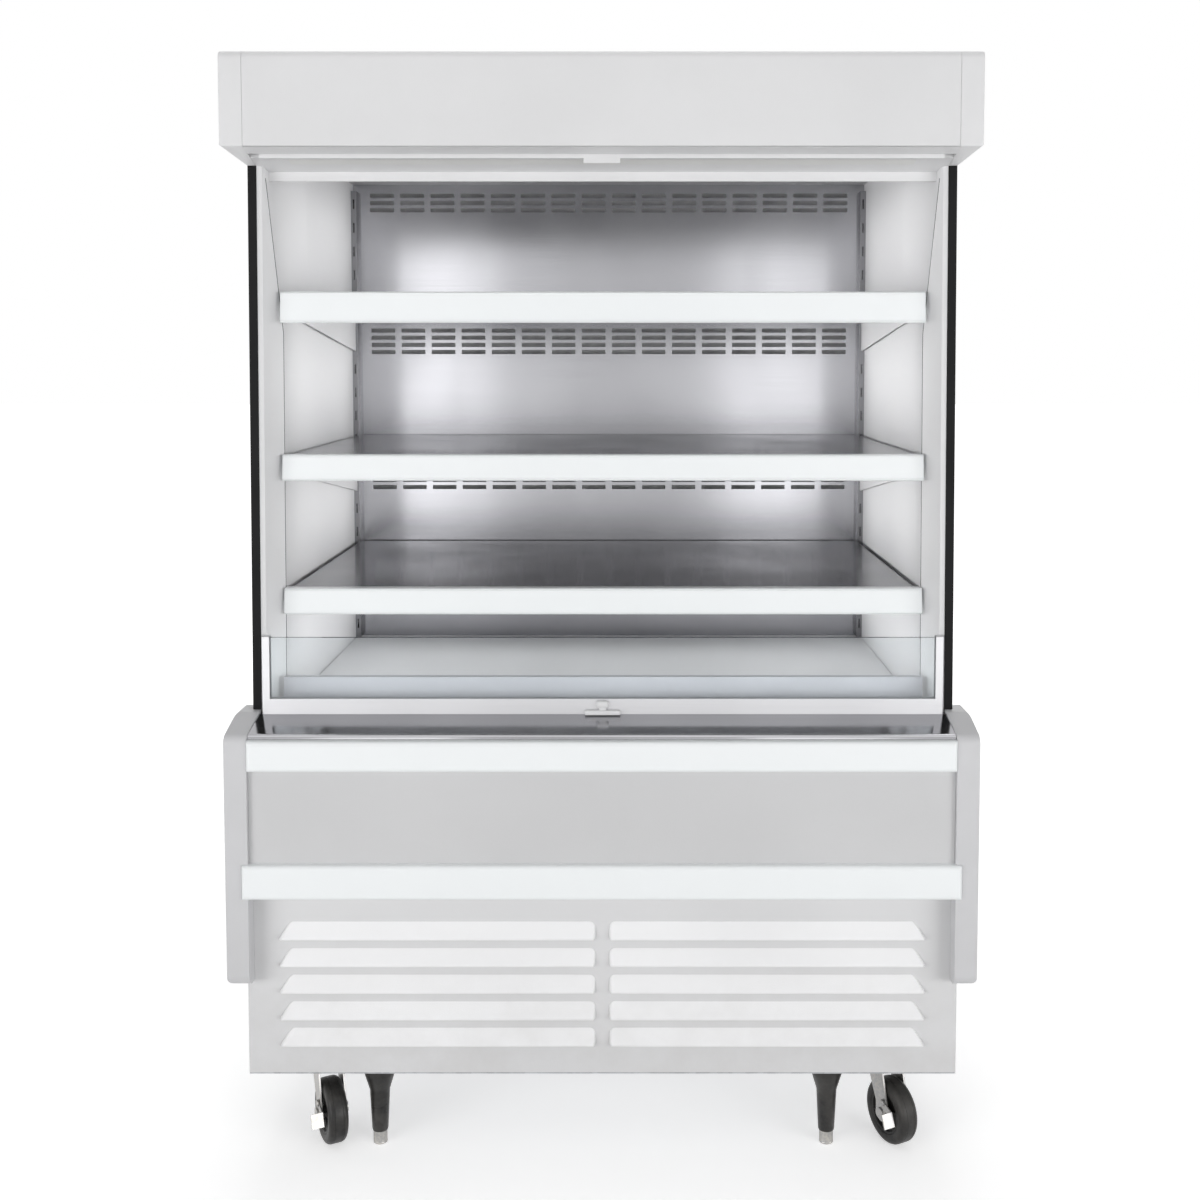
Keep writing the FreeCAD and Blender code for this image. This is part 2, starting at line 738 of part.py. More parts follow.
def shelves(slot_heights):
    """The three shelves with their price rails, and the arms that hook into the uprights."""
    arms = []
    arm_rear, arm_front = back_panel_y - upright_depth, shelf_front_y + bracket_end_gap
    x0, x1 = bracket_x - bracket_thickness / 2, bracket_x + bracket_thickness / 2
    for name, top in shelf_tops.items():
        save("shelf_" + name, [open_tray(-shelf_half, shelf_half, shelf_front_y, shelf_rear_y,
                                         top - shelf_flange, top, shelf_sheet, True)])
        height, face = rail_heights[name], shelf_front_y - rail_projection
        path = [(shelf_front_y, top - rail_web), (shelf_front_y, top, 1.0), (face + rail_tilt, top, 3.5),
                (face, top - height, 3.5), (face + rail_lip, top - height)]
        width = shelf_half + rail_overlap
        save("price_rail_" + name, [along_x(bent_strip(path, rail_thickness), -width, width)])
        rest_z = top - shelf_flange
        hooks = [z for z in slot_heights if z <= rest_z][-2:]
        web = along_x([(arm_rear, top - bracket_drop), (arm_front, top - bracket_drop),
                       (arm_front, rest_z - bracket_front_height), (arm_rear, hooks[0] - 2.0)], x0, x1)
        lip = box(x0 - bracket_lip, x0, arm_front, arm_rear, rest_z - bracket_thickness, rest_z)
        pieces = [web, lip]
        behind = arm_rear + upright_wall + play
        for z in hooks:
            pieces.append(along_x([(arm_rear - 1.0, z), (behind, z), (behind, z - 5.0),
                                   (arm_rear + hook_depth, z - 5.0), (arm_rear + hook_depth, z + hook_height),
                                   (arm_rear - 1.0, z + hook_height)], x0, x1))
        arms += both_sides(joined(pieces))
    save("shelf_brackets", arms)


def deck():
    """Deck pan over the tub and the return-air grille with its riser in front of it."""
    width = liner_x - deck_gap
    save("deck_pan", [open_tray(-width, width, riser_y + 1.0, back_panel_y - deck_gap, deck_z - deck_flange,
                                deck_z, shelf_sheet, True)])
    front = sill_rear_y + sill_thickness + 2 * play
    riser_rear = riser_y + riser_thickness
    path = [(front, deck_z - deck_flange), (front, grille_z), (riser_y, grille_z), (riser_y, riser_z),
            (riser_rear, riser_z), (riser_rear, deck_z)]
    pitch = 2 * width / grille_slots
    slots = [box(-width + (index + 0.5) * pitch - grille_slot_width / 2,
                 -width + (index + 0.5) * pitch + grille_slot_width / 2,
                 front + 2 * skin, riser_y - 2 * skin, grille_z - 2 * skin, grille_z + 1.0)
             for index in range(grille_slots)]
    save("return_grille", [along_x(bent_strip(path, -skin), -width, width).cut(slots)])


def glass_guard():
    """Low glass in front of the goods, standing in a channel with end posts."""
    width, rear = half - glass_end_gap, channel_y + channel_depth
    top = sill_rear_z + channel_floor + glass_height
    middle = (channel_y + rear) / 2
    posts = both_sides(box(width - glass_post_width, width, channel_y, rear, sill_rear_z, top + 2.0))
    rail = box(-width, width, channel_y, rear, sill_rear_z, sill_rear_z + channel_height)
    pane = [-width + channel_floor, width - channel_floor, middle - glass_thickness / 2,
            middle + glass_thickness / 2, sill_rear_z + channel_floor, top]
    save("front_glass", [box(*pane)])
    save("glass_channel", [joined([rail] + posts).cut(box(*pane))])


# ---- nose ----
def sill_and_front():
    """Sill, grey front panel and the two bumper strips."""
    t, top = sill_thickness, upper_bumper_z + upper_bumper_height
    width = nose_half - play
    path = [(sill_rear_y, sill_rear_z - sill_flange), (sill_rear_y, sill_rear_z - t),
            (channel_y, sill_rear_z - t), (nose_y + t, sill_front_z - t, sill_nose_radius), (nose_y + t, top)]
    corner = box(liner_x - play, half, edge_bottom_y - trim_thickness - play, tub_inner_y + 5.0,
                 sill_rear_z - sill_flange - 1.0, sill_rear_z + 1.0)
    save("sill", [along_x(bent_strip(path, -t), -width, width).cut(both_sides(corner))])
    low = lower_bumper_z + 2.0
    path = [(tub_front_y, top - play), (nose_y, top - play), (nose_y, low), (base_y, low)]
    save("front_panel", [along_x(bent_strip(path, skin), -width, width)])
    strips = []
    for z, height, end in ((upper_bumper_z, upper_bumper_height, width),
                           (lower_bumper_z, lower_bumper_height, bumper_end_x)):
        for inset in (0.0, bumper_wall):
            z0, z1, front, corner = z + inset, z + height - inset, bumper_y + inset, bumper_corner - inset
            section = [(nose_y, z0), (front, z0, corner), (front, z1, corner), (nose_y, z1)]
            plan = [(inset - end, nose_y), (inset - end, front, corner), (end - inset, front, corner),
                    (end - inset, nose_y)]
            strips.append(along_x(section, inset - end, end - inset).common(along_z(plan, z0, z1)))
    save("bumper_strips", [strips[0].cut(strips[1]), strips[2].cut(strips[3])])


def base_caps():
    """Moulded caps that close the ends of the nose and lap back over the end panels."""
    front, wall = bumper_y + cap_setback, cap_wall
    rear, top = front + base_cap_depth, cap_top_z
    shoulder = sill_front_z - base_cap_shoulder_drop
    slope = (top - shoulder) / (channel_y - front)
    profile = [(front, base_cap_z, base_cap_corner), (front, shoulder, base_cap_shoulder_radius),
               (channel_y, top), (rear, top, base_cap_corner / 2), (rear, base_cap_z, base_cap_corner)]
    inset = [(front + wall, base_cap_z + wall, base_cap_corner - wall),
             (front + wall, shoulder - wall, base_cap_shoulder_radius - wall), (channel_y, top - wall),
             (rear - wall, top - wall, base_cap_corner / 2 - wall),
             (rear - wall, base_cap_z + wall, base_cap_corner - wall)]
    face = [(half, base_cap_z), (cap_x, base_cap_z, base_cap_edge_radius), (cap_x, top, base_cap_corner / 4),
            (half, top)]
    inset_face = [(half - 1.0, base_cap_z + wall),
                  (cap_x - wall, base_cap_z + wall, base_cap_edge_radius - wall),
                  (cap_x - wall, top - wall, base_cap_corner / 4 - 1.0), (half - 1.0, top - wall)]
    back = base_y - play
    flange_z = top + slope * (back - channel_y)
    plug = along_x([(front, base_cap_z, base_cap_corner), (front, shoulder, base_cap_shoulder_radius),
                    (back, flange_z), (back, base_cap_z)], nose_half, half)
    under, end = sill_rear_z - sill_thickness + play, edge_bottom_y - trim_thickness - play
    flange = along_x([(back, sill_z(back) - sill_thickness + play), (channel_y, under), (end, under),
                      (end, top), (channel_y, top), (back, flange_z)], nose_half, half)
    notch = box(nose_half - 1.0, bumper_end_x + play, bumper_y, nose_y, lower_bumper_z - play,
                lower_bumper_z + lower_bumper_height + play)
    cap = joined([cap_plate(profile, inset, face, inset_face), plug, flange]).cut(notch)
    save("base_caps", both_sides(cap))


def louvre_panel():
    """Lower front panel with pressed louvres, open at their lower edges."""
    width, top_z = half - louvre_panel_gap, lower_bumper_z + louvre_tuck
    panel = box(-width, width, base_y, tub_front_y, louvre_bottom_z, top_z)
    hoods, openings = [], []
    for row in range(louvre_rows):
        low = louvre_first_z + row * louvre_pitch
        high, x0 = low + louvre_height, louvre_middle_gap / 2
        for inset, rear, group in ((0.0, base_y, hoods), (skin, tub_front_y + 1.0, openings)):
            z0, z1 = low - inset / 2, high - inset
            rings = []
            for z, x1, out in ((z0, x0 + louvre_length, louvre_projection),
                               (z1, x0 + louvre_length - louvre_slant, skin)):
                front = base_y - out + inset
                rings.append([(x0 + inset, front, z), (x1 - inset, front, z), (x1 - inset, rear, z),
                              (x0 + inset, rear, z)])
            group.extend(both_sides(sections(rings)))
    save("louvre_panel", [joined([panel] + hoods).cut(openings)])


# ---- undercarriage ----
def base_frame():
    """Welded ring of channels, two cross beams for the casters, and the machine room's floor tray."""
    top, wall = tray_z, frame_wall
    ring = box(-skin_x, skin_x, tub_front_y, foam_rear_y, base_height, top)
    room_x = skin_x - wall
    inner = box(-room_x, room_x, tub_front_y + wall, foam_rear_y - wall, base_height + wall, top)
    opening = box(-skin_x + frame_flange, skin_x - frame_flange, tub_front_y + frame_flange,
                  foam_rear_y - frame_flange, base_height - 1.0, top)
    beams = []
    for y in (caster_front_y, caster_rear_y):
        y0, y1 = y - cross_beam_width / 2, y + cross_beam_width / 2
        beam = box(-room_x, room_x, y0, y1, base_height, top)
        beams.append(beam.cut(box(-room_x, room_x, y0 + wall, y1 - wall, base_height + wall, top)))
    tray = box(-skin_x, skin_x, tub_front_y, foam_rear_y, top, top + tray_thickness)
    save("base_frame", [joined([ring.cut([inner, opening]), tray] + beams)])


def caster_wheel():
    """Wheel about an axle along X, with a recessed hub on both sides."""
    radius, width, boss = wheel_diameter / 2, wheel_width / 2, wheel_width / 2 + fork_side_gap - play
    side = [(axle_radius + running_clearance, boss), (axle_head, boss), (axle_head, width - hub_recess),
            (hub_radius, width - hub_recess), (hub_radius + 3.0, width), (radius, width, tyre_corner)]
    wheel = turned(side + [(p[0], -p[1]) + p[2:] for p in side[::-1]])
    wheel.rotate(V(0, 0, 0), V(0, 1, 0), 90)
    return wheel


def casters():
    """Swivel casters: top plates with kingpins, forks with axles, wheels, and brake levers at the front."""
    axle_z = wheel_diameter / 2
    plate_under = base_height - plate_thickness
    crown_top = plate_under - crown_gap
    crown_under = crown_top - crown_thickness
    arm_in = wheel_width / 2 + fork_side_gap
    arm_out = arm_in + fork_wall
    arm = [(fork_top_width * 0.4, crown_top), (-fork_top_width * 0.6, crown_top),
           (-caster_trail - fork_foot, axle_z + fork_foot),
           (-caster_trail - fork_foot, axle_z - fork_foot, fork_foot - 1.0),
           (-caster_trail + fork_foot, axle_z - fork_foot, fork_foot - 1.0),
           (-caster_trail + fork_foot, axle_z + fork_foot)]
    fork = joined([along_x(arm, arm_in, arm_out), along_x(arm, -arm_out, -arm_in),
                   box(-arm_out, arm_out, -fork_top_width * 0.6, fork_top_width * 0.4, crown_under,
                       crown_top),
                   rod(crown_radius, (0, 0, crown_under), (0, 0, 1), crown_thickness)])
    fork = fork.cut([rod(kingpin_radius + running_clearance, (0, 0, crown_under - 1.0), (0, 0, 1),
                         crown_thickness + 2.0),
                     rod(axle_radius, (-arm_out - 1.0, -caster_trail, axle_z), (1, 0, 0), 2 * arm_out + 2.0)])
    axle = joined([rod(axle_radius, (-arm_out, -caster_trail, axle_z), (1, 0, 0), 2 * arm_out),
                   rod(axle_head, (arm_out, -caster_trail, axle_z), (1, 0, 0), axle_head_height),
                   rod(axle_head, (-arm_out - axle_head_height, -caster_trail, axle_z), (1, 0, 0),
                       axle_head_height)])
    pin_y, pin_z = -caster_trail - brake_pin_ahead, axle_z + brake_pin_rise
    lever_x = arm_out + brake_gap
    pin = joined([rod(brake_pin_radius, (-arm_out + 1.0, pin_y, pin_z), (-1, 0, 0),
                      1.0 + 2 * brake_gap + brake_thickness),
                  rod(brake_pin_radius + 2.5, (-lever_x - brake_thickness - brake_gap, pin_y, pin_z),
                      (-1, 0, 0), 2.0)])
    tip = [(pin_y - brake_reach, pin_z - 0.2 * brake_reach),
           (pin_y - brake_reach - 0.4 * brake_tab_width, pin_z - 0.2 * brake_reach - brake_tab_width)]
    side = [(pin_y + 7.0, pin_z + 7.0, 5.0), tip[0], tip[1], (tip[1][0] + 7.0, tip[1][1]),
            (tip[0][0] + 9.0, pin_z - 14.0), (pin_y + 7.0, pin_z - 7.0, 5.0)]
    bore = rod(brake_pin_radius + running_clearance, (-lever_x - 10.0, pin_y, pin_z), (1, 0, 0), 20.0)
    lever = joined([along_x(side, -lever_x - brake_thickness, -lever_x),
                    along_x(bent_strip(tip, brake_thickness), -lever_x - brake_tab, -lever_x)]).cut(bore)
    wheel = caster_wheel()
    wheel.translate(V(0, -caster_trail, axle_z))
    plates = []
    for name, (x, y) in caster_places.items():
        yaw, braked = caster_yaws[name], name.startswith("front")
        body = joined([fork, pin]) if braked else fork
        save("caster_fork_" + name, [placed(body, x, y, 0.0, yaw), placed(axle, x, y, 0.0, yaw)])
        save("caster_wheel_" + name, [placed(wheel, x, y, 0.0, yaw)])
        if braked:
            save("brake_lever_" + name, [placed(lever, x, y, 0.0, yaw)])
        head_z = crown_under - play - kingpin_head_height
        plates.append(joined([box(x - plate_length / 2, x + plate_length / 2, y - plate_width / 2,
                                  y + plate_width / 2, plate_under, base_height),
                              rod(kingpin_radius, (x, y, head_z), (0, 0, 1), plate_under - head_z + 1.0),
                              rod(kingpin_head, (x, y, head_z), (0, 0, 1), kingpin_head_height)]))
    save("caster_plates", plates)


def levelling_legs():
    """Front legs: tapered sockets under the frame and the steel feet that screw up and down in them."""
    bore, foot_top = foot_radius + running_clearance, leg_bottom_z + foot_insert
    bore_top = foot_top + foot_travel + 5.0
    socket = turned([(0, bore_top), (bore, bore_top), (bore, leg_bottom_z), (leg_bottom_radius, leg_bottom_z),
                     (leg_top_radius, base_height - leg_taper_height),
                     (leg_flange_radius, base_height - leg_collar_height), (leg_flange_radius, base_height),
                     (0, base_height)])
    save("leg_sockets", both_sides(placed(socket, leg_x, leg_y)))
    foot = turned([(0, foot_bottom_z), (foot_radius, foot_bottom_z, 1.0), (foot_radius, foot_top),
                   (0, foot_top)])
    save("levelling_foot_right", [placed(foot, leg_x, leg_y)])
    save("levelling_foot_left", [placed(foot, -leg_x, leg_y)])


# ---- refrigeration ----
def finned_coil(x, y, z, width, depth, height, fins, rows, foot):
    """Serpentine tube through a stack of fins; the end plates reach down by foot."""
    y0, y1, x0 = y - depth / 2, y + depth / 2, x - width / 2
    pitch, row_pitch = (width - fin_thickness) / (fins - 1), height / rows
    shapes = []
    for index in range(fins):
        low = z - foot if index in (0, fins - 1) else z
        left = x0 + index * pitch
        shapes.append(box(left, left + fin_thickness, y0, y1, low, z + height))
    for row in range(rows):
        tube_z = z + (row + 0.5) * row_pitch
        shapes.append(rod(tube_radius, (x0, y, tube_z), (1, 0, 0), width))
        if row < rows - 1:
            side = -1 if row % 2 == 0 else 1
            ring = Part.makeTorus(row_pitch / 2, tube_radius,
                                  V(x + side * width / 2, y, tube_z + row_pitch / 2), V(0, 1, 0))
            near, far = sorted((x + side * width / 2, x + side * (width / 2 + row_pitch)))
            shapes.append(ring.common(box(near, far, y0, y1, z, z + height)))
    return joined(shapes)


def fan_rotor(x, y, z, radius):
    """Propeller fan on an axis along Y, centred at (x, y, z), with a blind bore for the motor shaft."""
    front = y - fan_hub_depth / 2
    shapes = [rod(fan_hub_radius, (x, front, z), (0, 1, 0), fan_hub_depth)]
    rings = []
    for reach, chord, pitch in ((fan_hub_radius - 4.0, 0.25 * radius, 38.0),
                                (radius + 2.0, 0.55 * radius, 22.0)):
        along, across = V(math.cos(math.radians(pitch)), math.sin(math.radians(pitch)), 0), V(0, 0, 1)
        through = along.cross(across).normalize() * (blade_thickness / 2)
        reached = V(x, y, z) + across * reach
        corners = [reached + along * (sign * chord / 2) + through * other
                   for sign, other in ((-1, -1), (1, -1), (1, 1), (-1, 1))]
        rings.append([(c.x, c.y, c.z) for c in corners])
    blade = sections(rings)
    for index in range(fan_blades):
        turn = blade.copy()
        turn.rotate(V(x, y, z), V(0, 1, 0), 360.0 * index / fan_blades)
        shapes.append(turn)
    bore = rod(shaft_radius + running_clearance, (x, front + blind_end, z), (0, 1, 0), fan_hub_depth)
    return joined(shapes).common(rod(radius, (x, front - 1.0, z), (0, 1, 0), fan_hub_depth + 2.0)).cut(bore)


def fan_mounting(x, y, z, radius, plate_y):
    """Bracket behind a fan hole, and the motor with its shaft, for a fan centred at (x, y, z)."""
    bar_y = y + fan_hub_depth / 2 + motor_gap
    motor_y = bar_y + motor_arm / 3
    reach = radius + fan_tip_gap + motor_arm
    low, high = z - motor_arm / 2, z + motor_arm / 2
    posts = [box(x + side * reach - motor_arm / 2, x + side * reach + motor_arm / 2, plate_y, motor_y, low,
                 high) for side in (-1, 1)]
    bar = box(x - reach, x + reach, bar_y, motor_y, low, high)
    hole = rod(shaft_radius + 1.0, (x, bar_y - 1.0, z), (0, 1, 0), motor_arm)
    shaft_y = y - fan_hub_depth / 2 + blind_end + play
    motor = joined([rod(motor_radius, (x, motor_y, z), (0, 1, 0), motor_length),
                    rod(shaft_radius, (x, shaft_y, z), (0, 1, 0), motor_y - shaft_y + 1.0)])
    return [bar.cut(hole)] + [post.cut(hole) for post in posts], motor


def condenser():
    """Condenser coil behind the louvres, its fan shroud, the fan and the motor."""
    save("condenser_coil", [finned_coil(condenser_x, condenser_y, room_z, condenser_width, condenser_depth,
                                        condenser_height, condenser_fins, condenser_rows, 0.0)])
    y0, z1 = condenser_y + condenser_depth / 2, room_z + condenser_height
    x0, x1, y1 = condenser_x - condenser_width / 2, condenser_x + condenser_width / 2, y0 + shroud_depth
    wall, fan_y, fan_z = shroud_wall, y1 - shroud_wall / 2, room_z + condenser_height / 2
    shell = box(x0, x1, y0, y1, room_z, z1).cut(
        [box(x0 + wall, x1 - wall, y0 - 1.0, y1 - wall, room_z + wall, z1 - wall),
         rod(fan_radius + fan_tip_gap, (condenser_x, y0, fan_z), (0, 1, 0), shroud_depth + 1.0)])
    bracket, motor = fan_mounting(condenser_x, fan_y, fan_z, fan_radius, y1)
    save("condenser_shroud", [joined([shell] + bracket), motor])
    save("condenser_fan", [fan_rotor(condenser_x, fan_y, fan_z, fan_radius)])


def evaporator():
    """Evaporator coil on the tub floor, with the fan plate, fans and motors in front of it."""
    save("evaporator_coil", [finned_coil(0.0, evaporator_y, tub_liner_z + evaporator_lift, evaporator_width,
                                         evaporator_depth, evaporator_height, evaporator_fins,
                                         evaporator_rows, evaporator_lift)])
    top, width = deck_z - deck_flange - deck_rest_thickness, liner_x - deck_gap
    fan_y, fan_z = fan_plate_y + skin / 2, (tub_liner_z + top) / 2
    plates, motors = [box(-width, width, fan_plate_y, fan_plate_y + skin, tub_liner_z, top)], []
    holes = []
    for name, side in (("left", -1), ("right", 1)):
        x = side * evaporator_fan_x
        holes.append(rod(evaporator_fan_radius + fan_tip_gap, (x, fan_plate_y - 1.0, fan_z), (0, 1, 0), 4.0))
        bracket, motor = fan_mounting(x, fan_y, fan_z, evaporator_fan_radius, fan_plate_y + skin)
        plates += bracket
        motors.append(motor)
        save("evaporator_fan_" + name, [fan_rotor(x, fan_y, fan_z, evaporator_fan_radius)])
    save("evaporator_fan_plate", [joined([plates[0].cut(holes)] + plates[1:])] + motors)


def compressor():
    """Hermetic compressor shell on its base plate and grommets."""
    low = room_z + grommet_height
    base = grommet_spacing / 2 + grommet_radius
    shell = placed(turned([(0, low), (compressor_radius, low), (compressor_radius, low + compressor_height,
                                                                 compressor_dome),
                           (0, low + compressor_height)]), compressor_x, compressor_y)
    plate = box(compressor_x - base, compressor_x + base, compressor_y - base, compressor_y + base, low,
                low + compressor_plate)
    spread = grommet_spacing / 2
    grommets = [rod(grommet_radius, (compressor_x + i * spread, compressor_y + j * spread, room_z), (0, 0, 1),
                    grommet_height) for i in (-1, 1) for j in (-1, 1)]
    save("compressor", [joined([shell, plate] + grommets)])


def machine_room_trays():
    """Condensate pan, and the electrical box with its cord gland through the rear skin."""
    save("condensate_pan", [open_tray(pan_x - pan_length / 2, pan_x + pan_length / 2, pan_y - pan_width / 2,
                                      pan_y + pan_width / 2, room_z, room_z + pan_height, pan_wall, False)])
    rear = foam_rear_y - box_rear_gap
    case = open_tray(box_x - box_length / 2, box_x + box_length / 2, rear - box_depth, rear, room_z,
                     room_z + box_height, pan_wall, True)
    gland_z = room_z + gland_rise
    gland = rod(gland_radius, (box_x, rear - pan_wall, gland_z), (0, 1, 0), rear_y - rear + pan_wall)
    cord_way = rod(gland_bore, (box_x, rear - pan_wall - 1.0, gland_z), (0, 1, 0), box_rear_gap + 10.0)
    save("electrical_box", [joined([case, gland]).cut(cord_way)])


def pipe(points):
    """Round pipe along straight runs with bends between them."""
    nodes = [V(*point) for point in points]
    edges, start = [], nodes[0]
    for index in range(1, len(nodes) - 1):
        back = (nodes[index - 1] - nodes[index]).normalize()
        ahead = (nodes[index + 1] - nodes[index]).normalize()
        enter, leave = nodes[index] + back * pipe_bend, nodes[index] + ahead * pipe_bend
        middle = nodes[index] + (back + ahead) * (pipe_bend * (1.0 - math.sqrt(0.5)))
        edges += [Part.LineSegment(start, enter).toShape(), Part.Arc(enter, middle, leave).toShape()]
        start = leave
    edges.append(Part.LineSegment(start, nodes[-1]).toShape())
    end = Part.Wire([Part.Circle(nodes[0], nodes[1] - nodes[0], pipe_radius).toShape()])
    return Part.Wire(edges).makePipeShell([end], True, False)


def refrigerant_lines():
    """Suction and liquid lines up through the tub floor, and the discharge line to the condenser."""
    coil_x, coil_z = evaporator_width / 2 + play, tub_liner_z + evaporator_lift
    row, condenser_row = evaporator_height / evaporator_rows, condenser_height / condenser_rows
    shell_z, low_z = room_z + shell_port_height, room_z + condenser_row / 2
    high_z = room_z + condenser_height - condenser_row / 2
    side_x = condenser_x + condenser_width / 2 + play
    far_x, near_x = pipe_x + pipe_offset, pipe_x - pipe_offset
    shell_x, clear_y = compressor_radius + play, compressor_y + compressor_radius + 20.0
    top_z, bottom_z = coil_z + evaporator_height - row / 2, coil_z + row / 2
    suction = pipe([(compressor_x + shell_x, evaporator_y, shell_z), (far_x, evaporator_y, shell_z),
                    (far_x, evaporator_y, top_z), (coil_x, evaporator_y, top_z)])
    liquid = pipe([(side_x, condenser_y, low_z), (liquid_x, condenser_y, low_z), (liquid_x, clear_y, low_z),
                   (near_x, clear_y, low_z), (near_x, evaporator_y, low_z), (near_x, evaporator_y, bottom_z),
                   (coil_x, evaporator_y, bottom_z)])
    discharge = pipe([(compressor_x - shell_x, compressor_y, shell_z), (discharge_x, compressor_y, shell_z),
                      (discharge_x, condenser_y, shell_z), (discharge_x, condenser_y, high_z),
                      (side_x, condenser_y, high_z)])
    save("refrigerant_lines", [suction, liquid, discharge])


# ---- run ----
os.makedirs("parts", exist_ok=True)
foams = end_panels()
insulation(foams)
outer_skins()
canopy()
soffit(both_sides(end_core(0.0)))
night_curtain()
back_panel()
shelves(uprights())
deck()
glass_guard()
sill_and_front()
base_caps()
louvre_panel()
base_frame()
casters()
levelling_legs()
condenser()
evaporator()
compressor()
machine_room_trays()
refrigerant_lines()
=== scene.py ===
"""Studio dress of an open multideck display fridge: finishes, formed pieces, plain light and camera."""

import json
import logging
import math
from dataclasses import dataclass
from enum import Enum
from typing import Callable, Optional, Sequence, Union

import bmesh
import bpy
from bmesh.types import BMesh
from bpy.types import Material, Mesh, Node, NodeSocket, NodeTree, Object
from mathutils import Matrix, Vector


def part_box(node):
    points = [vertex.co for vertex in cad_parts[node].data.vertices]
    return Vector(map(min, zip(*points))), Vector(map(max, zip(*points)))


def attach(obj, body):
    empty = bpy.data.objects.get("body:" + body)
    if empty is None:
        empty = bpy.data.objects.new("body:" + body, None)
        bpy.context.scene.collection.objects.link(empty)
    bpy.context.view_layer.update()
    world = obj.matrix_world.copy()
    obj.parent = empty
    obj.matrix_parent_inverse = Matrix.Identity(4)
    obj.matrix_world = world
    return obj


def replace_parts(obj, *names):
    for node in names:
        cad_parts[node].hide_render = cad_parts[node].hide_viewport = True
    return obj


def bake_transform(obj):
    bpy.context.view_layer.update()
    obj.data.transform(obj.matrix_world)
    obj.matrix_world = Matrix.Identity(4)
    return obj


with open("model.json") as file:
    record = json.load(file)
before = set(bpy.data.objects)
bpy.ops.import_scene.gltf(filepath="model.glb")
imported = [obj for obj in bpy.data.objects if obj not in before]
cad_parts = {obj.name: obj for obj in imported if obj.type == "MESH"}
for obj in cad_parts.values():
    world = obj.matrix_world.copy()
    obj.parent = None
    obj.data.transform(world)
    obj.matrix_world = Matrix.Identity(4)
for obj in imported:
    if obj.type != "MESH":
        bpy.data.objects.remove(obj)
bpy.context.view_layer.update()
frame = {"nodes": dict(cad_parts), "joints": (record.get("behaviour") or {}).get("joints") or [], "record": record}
log = logging.getLogger("display_fridge")

Colour = tuple[float, float, float]
Point = tuple[float, float, float]
Pair = tuple[float, float]
Source = Union[NodeSocket, float, int, Sequence[float]]
Inputs = dict[Union[str, int], Source]
Outputs = bpy.types.bpy_prop_collection
MM = 0.001


class Slot(Enum):
    """Material slots of the fridge's record, which its finishes are kept under."""

    WHITE_PANEL = "white_panel"
    GREY_PANEL = "grey_panel"
    GREY_CAP = "grey_cap"
    WHITE_CAP = "white_cap"
    WHITE_STRIP = "white_strip"
    FOAM = "foam"
    STAINLESS = "stainless"
    GALVANISED = "galvanised"
    BLACK_TRIM = "black_trim"
    BLACK_PAINT = "black_paint"
    BLACK_PLASTIC = "black_plastic"
    CLEAR_GLASS = "clear_glass"
    CHANNEL = "channel"
    BARE_ALUMINIUM = "bare_aluminium"
    HONEYCOMB = "honeycomb"
    LAMP = "lamp"
    CLOTH = "cloth"
    WHEEL = "wheel"
    ZINC = "zinc"
    COPPER = "copper"


def tone(red: int, green: Optional[int] = None, blue: Optional[int] = None) -> Colour:
    """Turns a colour written in the usual 0 to 255 steps into the linear values that shaders take.

    Args:
        red: red step, or the grey step when it stands alone.
        green: green step.
        blue: blue step.

    Returns:
        The linear red, green and blue.
    """
    steps = (red, red if green is None else green, red if blue is None else blue)
    parts = [step / 255 for step in steps]
    return tuple(p / 12.92 if p <= 0.04045 else ((p + 0.055) / 1.055) ** 2.4 for p in parts)


